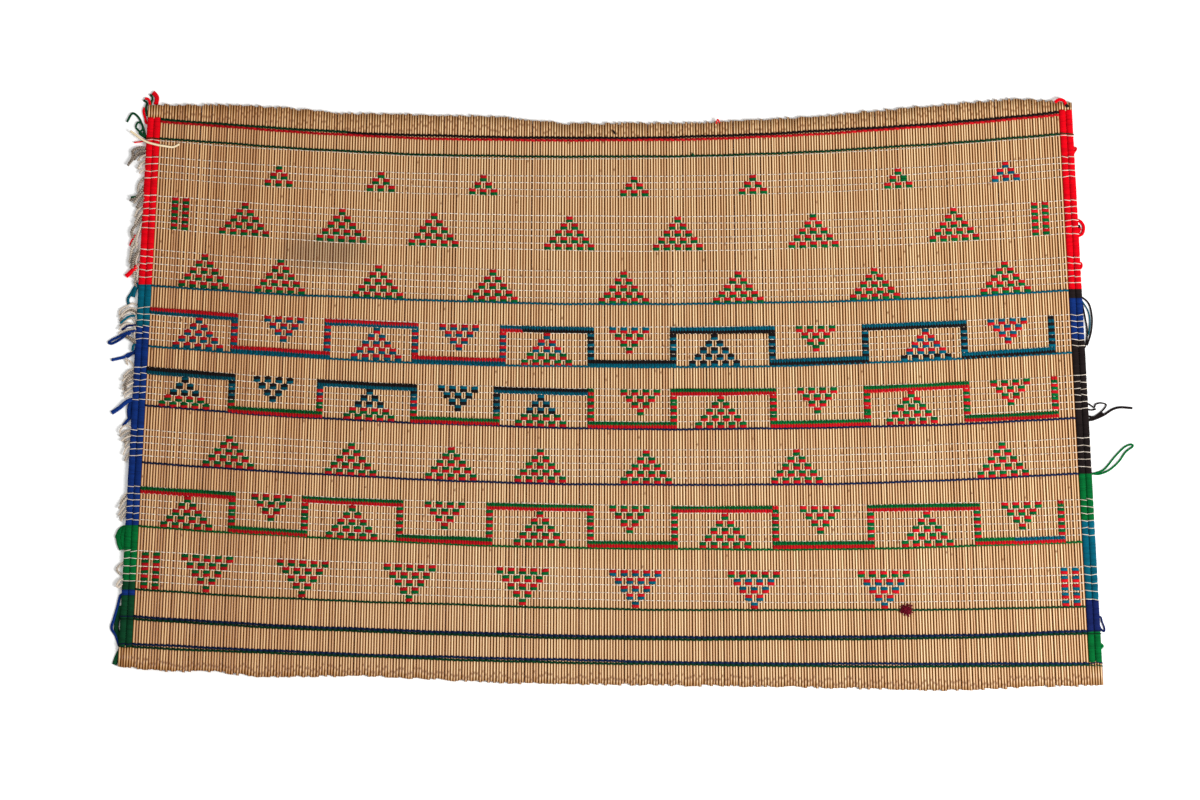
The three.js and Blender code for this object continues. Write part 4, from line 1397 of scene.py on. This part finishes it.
@dataclass
class Twining:
    """Lays twined strands across the stems, and wool floats round pairs of them."""

    seed: int = 23
    wander: float = 0.6
    waves: tuple[tuple[float, float], ...] = ((17.0, 1.0), (43.0, 0.6), (110.0, 0.4))
    slant_share: float = 0.34
    over_share: float = 0.27
    over_lean: float = 0.4
    over_press: float = 0.75
    float_places: int = 10
    float_half_wide: float = 1.9
    float_half_thick: float = 0.75
    float_press: float = 0.8
    float_reach: float = 3.15
    float_stretch: tuple[float, float] = (0.96, 1.06)
    float_swelling: tuple[float, float] = (0.94, 1.05)
    float_offset: float = 1.5
    float_tilt: float = 0.3
    floor_gap: float = 0.02
    block_wander: float = 0.25
    squareness: float = 0.55

    def __post_init__(self) -> None:
        """Starts the source of chance."""
        self.rng = random.Random(self.seed)

    def strands(
        self, heights: Heights, first: int, last: int, group: int, half_thick: float, slant: float
    ) -> np.ndarray:
        """Ways of a course's two strands, over and under groups of stems by turns.

        Args:
            heights: The course.
            first: The stem boundary that it starts at, from 0.
            last: The stem boundary that it ends at.
            group: How many stems a strand passes over.
            half_thick: Half the strand's thickness.
            slant: How far a strand rises or falls over a group.

        Returns:
            Points by strand, place and axis.
        """
        # A strand has three places for each group: where it crosses its partner before it, and
        # both ends of its pass over or under the stems
        groups = (last - first) // group
        starts = first + group * np.arange(groups)
        shares = np.array([0.0, self.over_share, 1 - self.over_share])
        stations = np.append((starts[:, None] + group * shares).ravel(), first + group * groups)
        turn = np.where(np.arange(groups) % 2 == 0, 1.0, -1.0)
        level = np.append((turn[:, None] * np.array([0.0, 1.0, 1.0])).ravel(), 0.0)
        lean = (turn[:, None] * np.array([1.0, self.over_lean, -self.over_lean])).ravel()
        lean = np.append(lean, -turn[-1] if groups else 0.0)
        across = stations / FIELD_STEMS
        wander = self.wander * sum(
            share * np.sin(wave * across + self.rng.uniform(0, 2 * math.pi))
            for wave, share in self.waves
        ) / 2
        rise = STEM_RISE + half_thick * self.over_press
        ways = []
        for sign in (1.0, -1.0):
            y = heights.at(across) + wander + sign * slant * lean
            z = np.maximum(STEM_Z + sign * level * rise, half_thick)
            ways.append(np.stack([field_x(across, y), y, z], axis=1))
        return np.array(ways)

    def lay(
        self,
        bundle: Bundle,
        heights: Heights,
        span: tuple[int, int],
        group: int,
        half_wide: float,
        half_thick: float,
        profile: Profile = Profile.THREAD,
    ) -> None:
        """Adds a twined course of two strands to a bundle.

        Args:
            bundle: What it is added to.
            heights: The course.
            span: The stem boundaries that it starts and ends at.
            group: How many stems a strand passes over.
            half_wide: Half a strand's width.
            half_thick: Half its thickness.
            profile: Its section.
        """
        slant = self.slant_share * half_wide
        ways = self.strands(heights, *span, group, half_thick, slant)
        chances = np.array([self.rng.random(), self.rng.random()])
        bundle.sweep(ways, half_wide, half_thick, profile, chances, wide=ALONG_Y)

    def float_round(self, bundle: Bundle, pair: float, y: float) -> None:
        """Adds a float of wool round a pair of stems to a bundle.

        Args:
            bundle: What it is added to.
            pair: The pair's count from the left selvedge.
            y: The float's height.
        """
        across = (pair + 0.5) / PAIRS
        turn = 2 * math.pi * np.arange(self.float_places) / self.float_places
        cosine, sine = np.cos(turn), np.sin(turn)
        stretch = self.rng.uniform(*self.float_stretch)
        reach = self.float_reach * half_width(y) / WAIST_HALF * stretch
        rise = STEM_RISE + self.float_half_thick * self.float_press
        x = field_x(across, y) - reach * np.sign(cosine) * np.abs(cosine) ** self.squareness
        z = STEM_Z + rise * np.sign(sine) * np.abs(sine) ** self.squareness
        z = np.maximum(z, self.float_half_thick + self.floor_gap)
        tilt = self.rng.uniform(-self.float_tilt, self.float_tilt)
        way = np.stack([x, y + tilt * (x - x.mean()) / reach, z], axis=1)
        bundle.sweep(
            way[None], self.float_half_wide * self.rng.uniform(*self.float_swelling),
            self.float_half_thick, Profile.FLOAT, self.rng.random(), wide=ALONG_Y, closed=True,
        )

    def block(
        self, bundles: dict[Wool, Bundle], band: Band, gap: int, pair: float, code: str
    ) -> None:
        """Adds a block of two floats, one over the other.

        Args:
            bundles: What they are added to, by wool.
            band: The band of thread rows that the block lies in.
            gap: The gap between its rows.
            pair: The pair of stems.
            code: The upper and the lower wool.
        """
        middle = float(band.gap(gap).at((pair + 0.5) / PAIRS))
        middle += self.rng.uniform(-self.block_wander, self.block_wander)
        for letter, rise in zip(code, (self.float_offset, -self.float_offset)):
            bundle = bundles.setdefault(WOOL_CODES[letter], Bundle())
            self.float_round(bundle, pair, middle + rise)


@dataclass(frozen=True)
class Binding:
    """A yarn that goes round each wound bundle of both selvedges.

    Its rings lie in the wool as deep as the bite, and vary in height and slant.
    """

    half_thick: float
    bite: float
    places: int = 14
    wander: float = 0.5
    slant: float = 0.7
    bare_gap: float = 0.4
    floor_gap: float = 0.6

    def bind(self, bundle: Bundle, row: Heights, rng: random.Random) -> None:
        """Adds the rings of a course to a bundle.

        Args:
            bundle: What they are added to.
            row: The course.
            rng: The source of chance.
        """
        for side, height in ((-1, row.left), (1, row.right)):
            for place in range(2):
                y = height + rng.uniform(-self.wander, self.wander)
                ring = self.ring(side, place, y, rng.uniform(-self.slant, self.slant))
                bundle.sweep(ring[None], self.half_thick, self.half_thick, Profile.THREAD,
                             rng.random(), wide=ALONG_Y, closed=True)

    def ring(self, side: int, place: int, y: float, slant: float) -> np.ndarray:
        """The way of the yarn once round a bundle.

        Args:
            side: -1 for the left selvedge, 1 for the right.
            place: 0 for the inner bundle, 1 for the outer.
            y: The ring's height.
            slant: How much it rises from the left to the right.

        Returns:
            The ring's points.
        """
        quarter = SELVEDGE_WIDTH / 4
        proud = self.half_thick - self.bite
        turn = 2 * math.pi * np.arange(self.places) / self.places
        x = -(quarter + proud) * np.cos(turn)
        wound_top, wound_bottom = wound_span(side)
        wound = wound_bottom < y < wound_top
        height = SELVEDGE_HEIGHT if wound else STEM_Z + STEM_RISE + self.bare_gap
        z = height / 2 + (height / 2 + proud) * np.sin(turn)
        return np.stack([
            wound_middle(side, place, y) + x,
            y + slant * x / quarter,
            np.maximum(z, self.floor_gap),
        ], axis=1)


@dataclass
class WhiteThread:
    """The rows of white two-ply thread, which also bind the wound selvedges."""

    half_thick: float = 0.42
    binding: Binding = Binding(half_thick=0.38, bite=0.18)
    under_drop: float = 2.0

    def build(self, workshop: Workshop, twining: Twining) -> None:
        """Builds each band's rows as one piece, and the row under the upper green course.

        Args:
            workshop: What makes the pieces.
            twining: What lays the strands.
        """
        pieces = {f"thread_rows_{title}": band.all_rows() for title, band in BANDS.items()}
        pieces["thread_under_green_course"] = [COURSES["02"].heights.lowered(self.under_drop)]
        for name, rows in pieces.items():
            bundle = Bundle()
            for row in rows:
                twining.lay(bundle, row, (0, FIELD_STEMS), 2, self.half_thick, self.half_thick)
                self.binding.bind(bundle, row, twining.rng)
            workshop.wool_piece(name, bundle, Wool.UNDYED)


@dataclass
class Selvedge:
    """One selvedge: two bundles of stems wound closely with wool of changing colours."""

    side: int
    seed: int = 31
    turn_pitch: float = 1.8
    rings_per_turn: int = 3
    corners: int = 10
    roundness: float = 0.86
    fullness: float = 0.1  # the two bundles press into each other by this much
    ridge: float = 0.16
    looseness: float = 0.05
    pinch: float = 0.28
    pinch_reach: float = 1.6
    tilt: float = 0.45
    yarn_radius: float = 2.8
    yarn_shift: float = 17.0  # length of yarn in a turn
    shade_spread: float = 0.4

    def thread_heights(self) -> np.ndarray:
        """Heights at which the thread rows bind this selvedge."""
        rows = [row for band in BANDS.values() for row in band.all_rows()]
        return np.array([row.left if self.side < 0 else row.right for row in rows])

    def wound(
        self, bundle: Bundle, place: int, top: float, bottom: float, rng: random.Random
    ) -> None:
        """Adds one wound bundle of stems.

        Args:
            bundle: What it is added to.
            place: 0 for the inner bundle, 1 for the outer.
            top: The height that it is wound from.
            bottom: The height that it is wound down to.
            rng: The source of chance.
        """
        turns = max(2, round((top - bottom) / self.turn_pitch))
        rings = turns * self.rings_per_turn + 1
        phase = np.arange(rings) % self.rings_per_turn
        heights = np.linspace(top, bottom, rings)
        loose = [rng.uniform(-1, 1) for _ in range(turns + 1)]
        loose = np.repeat(loose, self.rings_per_turn)[:rings]
        near = np.min(np.abs(heights[:, None] - self.thread_heights()[None]), axis=1)
        inset = self.ridge * (phase == 0) + self.looseness * loose
        inset = inset + self.pinch * np.exp(-((near / self.pinch_reach) ** 2))
        around = np.arange(self.corners) / self.corners
        angles = np.radians(270 + 360 * around)
        cosine, sine = np.cos(angles), np.sin(angles)
        wide, thick = (
            (half - inset)[:, None] * np.sign(part) * np.abs(part) ** self.roundness
            for half, part in (
                (SELVEDGE_WIDTH / 4 + self.fullness, cosine), (SELVEDGE_HEIGHT / 2, sine)
            )
        )
        ends = np.minimum(np.arange(rings), np.arange(rings)[::-1])
        slope = self.tilt * np.minimum(ends / self.rings_per_turn, 1.0)
        points = np.stack([
            wound_middle(self.side, place, heights)[:, None] + wide,
            heights[:, None] + slope[:, None] * cosine * self.side,
            SELVEDGE_HEIGHT / 2 + thick,
        ], axis=-1)
        strand = np.empty(points.shape)
        shift = self.yarn_shift * (np.arange(rings) // self.rings_per_turn)
        strand[..., 0] = 2 * math.pi * self.yarn_radius * around + shift[:, None]
        round_yarn = np.radians(-90 + 360 / self.rings_per_turn * phase)
        strand[..., 1] = np.cos(round_yarn)[:, None]
        strand[..., 2] = np.sin(round_yarn)[:, None]
        tone = np.zeros(points.shape)
        tone[..., 0] = (0.5 + self.shade_spread * loose)[:, None]
        bundle.add_rings(*(part[None, :, ::-1] for part in (points, strand, tone)))

    def build(self, workshop: Workshop) -> None:
        """Builds each length of wool as its own piece.

        Args:
            workshop: What makes the pieces.
        """
        rng = random.Random(self.seed + self.side)
        top, lengths = WINDINGS[self.side]
        for node, wool, length in lengths:
            bundle = Bundle()
            for place in range(2):
                self.wound(bundle, place, top, top - length, rng)
            workshop.wool_piece(node.replace("wrap", "wound"), bundle, wool, [node])
            top -= length


@dataclass
class Pattern:
    """The coloured wool of the field: courses, stepped motifs and frets."""

    course_half_thick: float = 0.9
    bar_half_wide: float = 2.15
    bar_half_thick: float = 0.95
    bar_offset: float = 1.5
    fret_first_gap: int = 2
    binding: Binding = Binding(half_thick=0.6, bite=0.25)
    binding_lines: tuple[str, ...] = ("02", "09_upper", "09_lower", "10_upper", "10_lower")

    def build(self, workshop: Workshop, twining: Twining) -> None:
        """Builds the courses, then the motifs, then the frets.

        Args:
            workshop: What makes the pieces.
            twining: What lays the strands and floats.
        """
        self.build_courses(workshop, twining)
        self.build_motifs(workshop, twining)
        for fret in FRETS:
            self.build_fret(workshop, twining, fret)

    def build_courses(self, workshop: Workshop, twining: Twining) -> None:
        """Builds each line of each coloured course as one piece.

        Args:
            workshop: What makes the pieces.
            twining: What lays the strands.
        """
        for course in COURSES.values():
            for line in course.lines:
                bundle = Bundle()
                span = (2 * round(line.start * PAIRS), 2 * round(line.stop * PAIRS))
                heights = course.heights.lowered(line.drop)
                twining.lay(bundle, heights, span, 2, course.half_wide,
                            self.course_half_thick, Profile.FLAT_YARN)
                if line.number in self.binding_lines:
                    self.binding.bind(bundle, heights, twining.rng)
                name = f"twined_course_{line.number}_{line.wool.value}"
                workshop.wool_piece(name, bundle, line.wool, [f"course_{line.number}"], worn=True)

    def build_motifs(self, workshop: Workshop, twining: Twining) -> None:
        """Builds the stepped triangles and columns, one piece for each wool.

        Args:
            workshop: What makes the pieces.
            twining: What lays the floats.
        """
        bundles: dict[Wool, Bundle] = {}
        for title, first_gap, way, motifs in MOTIFS:
            for pair, colours in motifs.items():
                codes = rows_of(colours)
                for step, code in enumerate(codes):
                    gap = first_gap + step
                    for block_pair in self.row_pairs(pair, way, step, len(codes)):
                        chosen = ODD_BLOCKS.get((title, gap, block_pair), code)
                        twining.block(bundles, BANDS[title], gap, block_pair, chosen)
        for wool, bundle in bundles.items():
            workshop.wool_piece(f"stepped_blocks_{wool.value}", bundle, wool, worn=True)

    @staticmethod
    def row_pairs(pair: float, way: Way, step: int, steps: int) -> list[float]:
        """The pairs of stems that a motif's row stands on: every second one.

        Args:
            pair: The pair at the motif's middle.
            way: How it steps.
            step: The row, from 0 at the top.
            steps: How many rows there are.

        Returns:
            The pairs, from the left.
        """
        reach = {Way.UP: step, Way.DOWN: steps - 1 - step, Way.COLUMN: 0}[way]
        return [pair - reach + 2 * count for count in range(reach + 1)]

    def build_fret(self, workshop: Workshop, twining: Twining, fret: Fret) -> None:
        """Builds a fret, one piece for each of its wools.

        Args:
            workshop: What makes the pieces.
            twining: What lays the strands and floats.
            fret: The fret.
        """
        band = BANDS[fret.band]
        bundles: dict[Wool, Bundle] = {}
        for pair, colours in fret.columns.items():
            for step, code in enumerate(rows_of(colours)):
                twining.block(bundles, band, self.fret_first_gap + step, pair, code)
        for gap, bars in ((1, fret.top_bars), (band.rows, fret.bottom_bars)):
            for first, last, code in bars:
                span = (2 * first, 2 * last + 2)
                for letter, drop in zip(code, (-self.bar_offset, self.bar_offset)):
                    bundle = bundles.setdefault(WOOL_CODES[letter], Bundle())
                    twining.lay(bundle, band.gap(gap).lowered(drop), span, 1, self.bar_half_wide,
                                self.bar_half_thick, Profile.FLAT_YARN)
        for wool, bundle in bundles.items():
            name = f"{fret.node}_{wool.value}"
            workshop.wool_piece(name, bundle, wool, [fret.node], worn=True)


@dataclass
class LooseEnds:
    """The cut thread ends, the yarn tails, the caught straw and the frayed tuft."""

    seed: int = 47
    ply_share: float = 0.3
    ply_offset_share: float = 0.24
    ply_pitch: float = 5.0
    bunch_lift: float = 0.15
    bunch_lift_share: float = 0.55
    bunch_layer: float = 1.1
    bunch_step: float = 0.8
    short_step: float = 1.0
    tail_step: float = 1.2
    root_reach: tuple[float, float] = (-2.0, 1.2)
    straw_step: float = 1.5
    straw_shade: float = 0.5
    straw_lift: float = 0.35
    straw_half_wide: float = 1.1
    straw_half_thick: float = 0.32
    tuft_place: tuple[float, float, float] = (296.2, -214.6, 4.6)
    tuft_hairs: int = 60
    tuft_reach: tuple[float, float] = (3.0, 7.6)
    tuft_bend: float = 0.7
    tuft_lift: tuple[float, float] = (0.2, 2.0)
    hair_half_wide: float = 0.45
    hair_half_thick: float = 0.4
    hair_step: float = 1.0
    hair_shares: tuple[float, ...] = (0.0, 0.35, 0.7, 1.0)
    hair_root: float = 0.15  # the share of its rise that a hair starts with

    def __post_init__(self) -> None:
        """Starts the source of chance."""
        self.rng = random.Random(self.seed)

    def build(self, workshop: Workshop) -> None:
        """Builds them all.

        Args:
            workshop: What makes the pieces.
        """
        for node, strands in CUT_ENDS.items():
            self.build_bunch(workshop, node, strands)
        for tail in TAILS:
            self.build_tail(workshop, tail)
        self.build_short_ends(workshop)
        self.build_straw(workshop)
        self.build_tuft(workshop)

    def two_ply(self, bundle: Bundle, line: np.ndarray, width: float, shade: float) -> None:
        """Adds a thread of two plies wound round each other.

        Args:
            bundle: What it is added to.
            line: The line that it follows.
            width: Its width.
            shade: Its shade, from 0 to 1.
        """
        reach = np.append(0.0, np.cumsum(np.linalg.norm(np.diff(line, axis=0), axis=1)))
        tangent = np.gradient(line, axis=0)
        tangent /= np.linalg.norm(tangent, axis=1, keepdims=True)
        side = np.cross(UPWARDS, tangent)
        start = self.rng.uniform(0, math.pi)
        offset = self.ply_offset_share * width
        ways = []
        for half_turn in (0.0, math.pi):
            turn = (2 * math.pi * reach / self.ply_pitch + start + half_turn)[:, None]
            ways.append(line + offset * (np.cos(turn) * side + np.sin(turn) * UPWARDS))
        radius = self.ply_share * width
        bundle.sweep(np.array(ways), radius, radius, Profile.YARN, shade)

    def build_bunch(
        self, workshop: Workshop, node: str, strands: Sequence[Sequence[object]]
    ) -> None:
        """Builds a bunch of cut thread ends that lie over one another.

        Args:
            workshop: What makes the piece.
            node: The solid that it stands for.
            strands: Each end's shade, its width and its places.
        """
        bundle = Bundle()
        for count, (shade, width, *places) in enumerate(strands):
            lift = self.bunch_lift_share * width + self.bunch_lift
            lift += self.bunch_layer * (count % 2)
            line = smooth_way([(x, y, lift) for x, y in places], self.bunch_step)
            self.two_ply(bundle, line, width, shade)
        workshop.wool_piece(f"cut_{node}", bundle, Wool.SOILED_AND_SHADOWED, [node])

    def lay_yarn(
        self,
        bundle: Bundle,
        places: Sequence[tuple[float, float, float]],
        width: float,
        step: float,
    ) -> None:
        """Adds a yarn that lies on its places.

        Args:
            bundle: What it is added to.
            places: The points that its underside passes through.
            width: Its width.
            step: About how far apart its rings are.
        """
        line = smooth_way([(x, y, lift + YARN_LIFT) for x, y, lift in places], step)
        bundle.sweep(line[None], width / 2, YARN_LIFT, Profile.YARN, self.rng.random())

    def build_short_ends(self, workshop: Workshop) -> None:
        """Builds the short yarn ends, one piece for each wool.

        Args:
            workshop: What makes the pieces.
        """
        bundles: dict[Wool, Bundle] = {}
        for wool, width, *places in SHORT_ENDS:
            self.lay_yarn(bundles.setdefault(wool, Bundle()), places, width, self.short_step)
        for wool, bundle in bundles.items():
            workshop.wool_piece(f"short_ends_{wool.value}", bundle, wool)

    def build_tail(self, workshop: Workshop, tail: Tail) -> None:
        """Builds a loose yarn end, from inside the winding that it leaves.

        Args:
            workshop: What makes the piece.
            tail: The yarn end.
        """
        roots = []
        if tail.root:
            side, y, lift = tail.root
            edge = half_width(y) + SELVEDGE_WIDTH
            roots = [(side * (edge + reach), y, lift) for reach in self.root_reach]
        bundle = Bundle()
        self.lay_yarn(bundle, [*roots, *tail.way], tail.width, self.tail_step)
        workshop.wool_piece(f"yarn_{tail.name}", bundle, tail.wool, [tail.name])

    def build_straw(self, workshop: Workshop) -> None:
        """Builds the flat straw that is caught under the threads.

        Args:
            workshop: What makes the piece.
        """
        line = smooth_way(STRAW_WAY, self.straw_step) + (0, 0, self.straw_lift)
        bundle = Bundle()
        bundle.sweep(line[None], self.straw_half_wide, self.straw_half_thick, Profile.YARN,
                     self.straw_shade)
        workshop.piece("split_straw", bundle, SplitStraw().make(), "straw", ["caught_straw"])

    def build_tuft(self, workshop: Workshop) -> None:
        """Builds the frayed knot of dark red wool on the lowest single course.

        Args:
            workshop: What makes the piece.
        """
        bundle = Bundle()
        centre = np.array(self.tuft_place)
        for _ in range(self.tuft_hairs):
            turn = self.rng.uniform(0, 2 * math.pi)
            reach = self.rng.uniform(*self.tuft_reach)
            bend = self.rng.uniform(-self.tuft_bend, self.tuft_bend)
            lift = self.rng.uniform(*self.tuft_lift)
            points = [
                centre + (share * reach * math.cos(turn + bend * share),
                          share * reach * math.sin(turn + bend * share),
                          lift * math.sin(math.pi * min(share + self.hair_root, 1.0)))
                for share in self.hair_shares
            ]
            line = smooth_way(points, self.hair_step)
            bundle.sweep(line[None], self.hair_half_wide, self.hair_half_thick, Profile.THREAD,
                         self.rng.random())
        workshop.wool_piece("frayed_tuft", bundle, Wool.DARK_RED, ["tuft"])


@dataclass
class Studio:
    """A matt white floor, soft light from the right and a camera straight above.

    The floor, the lamps and the camera's height are in metres, the rest in millimetres. A lamp
    is its name, its place, its side and its watts.
    """

    floor_size: float = 6.0
    camera_height: float = 6.0
    sensor: float = 36.0
    frame_width: float = 1200.0
    view_x: float = -10.0
    view_y: float = -5.0
    sky: str = "#ffffff"
    sky_strength: float = 0.5
    lamps: tuple[tuple[str, tuple[float, float, float], float, float], ...] = (
        ("key", (2.6, -1.0, 2.3), 1.6, 160.0),
        ("fill", (-2.0, 1.6, 2.6), 2.4, 22.0),
    )

    def build(self) -> None:
        """Sets up the floor, the lamps, the sky and the camera."""
        self.build_floor()
        for lamp in self.lamps:
            self.hang_lamp(*lamp)
        world = bpy.data.worlds.new("studio_sky")
        world.use_nodes = True
        sky = world.node_tree.nodes["Background"]
        sky.inputs["Color"].default_value = linear(self.sky)
        sky.inputs["Strength"].default_value = self.sky_strength
        bpy.context.scene.world = world
        bpy.context.scene.view_settings.view_transform = "Standard"
        self.build_camera()

    def build_floor(self) -> None:
        """Lays the floor just under the mat."""
        half = self.floor_size / 2
        mesh = bpy.data.meshes.new("floor")
        corners = [(-half, -half, 0), (half, -half, 0), (half, half, 0), (-half, half, 0)]
        mesh.from_pydata(corners, [], [(0, 1, 2, 3)])
        floor = bpy.data.objects.new("floor", mesh)
        floor.data.materials.append(PaintedBoard().make())
        bpy.context.collection.objects.link(floor)

    def hang_lamp(
        self, name: str, place: tuple[float, float, float], size: float, watts: float
    ) -> None:
        """Hangs a square soft lamp that faces the mat.

        Args:
            name: Its name.
            place: Where it hangs, in metres.
            size: Its side, in metres.
            watts: Its power.
        """
        lamp = bpy.data.lights.new(name, "AREA")
        lamp.size = size
        lamp.energy = watts
        light = bpy.data.objects.new(name, lamp)
        light.location = place
        light.rotation_euler = (-light.location).to_track_quat("-Z", "Y").to_euler()
        bpy.context.collection.objects.link(light)

    def build_camera(self) -> None:
        """Hangs the camera straight above, with a long lens that frames the mat as it is."""
        lens = bpy.data.cameras.new("camera")
        lens.sensor_width = self.sensor
        lens.lens = self.sensor * self.camera_height / (self.frame_width * MM)
        camera = bpy.data.objects.new("camera", lens)
        camera.location = (
            (self.view_x - MIDDLE_X) * MM, (self.view_y - MIDDLE_Y) * MM, self.camera_height
        )
        bpy.context.collection.objects.link(camera)
        bpy.context.scene.camera = camera


def main() -> None:
    """Builds the mat's looks around its solids."""
    logging.basicConfig(level=logging.INFO, format="%(message)s")
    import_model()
    Studio().build()
    workshop = Workshop()
    twining = Twining()
    reeds = ReedField().build(workshop)
    WhiteThread().build(workshop, twining)
    Pattern().build(workshop, twining)
    for side in (-1, 1):
        Selvedge(side).build(workshop)
    LooseEnds().build(workshop)
    LOG.info("%d pieces, %d triangles", len(workshop.pieces), workshop.triangles)


if __name__ == "__main__":
    main()
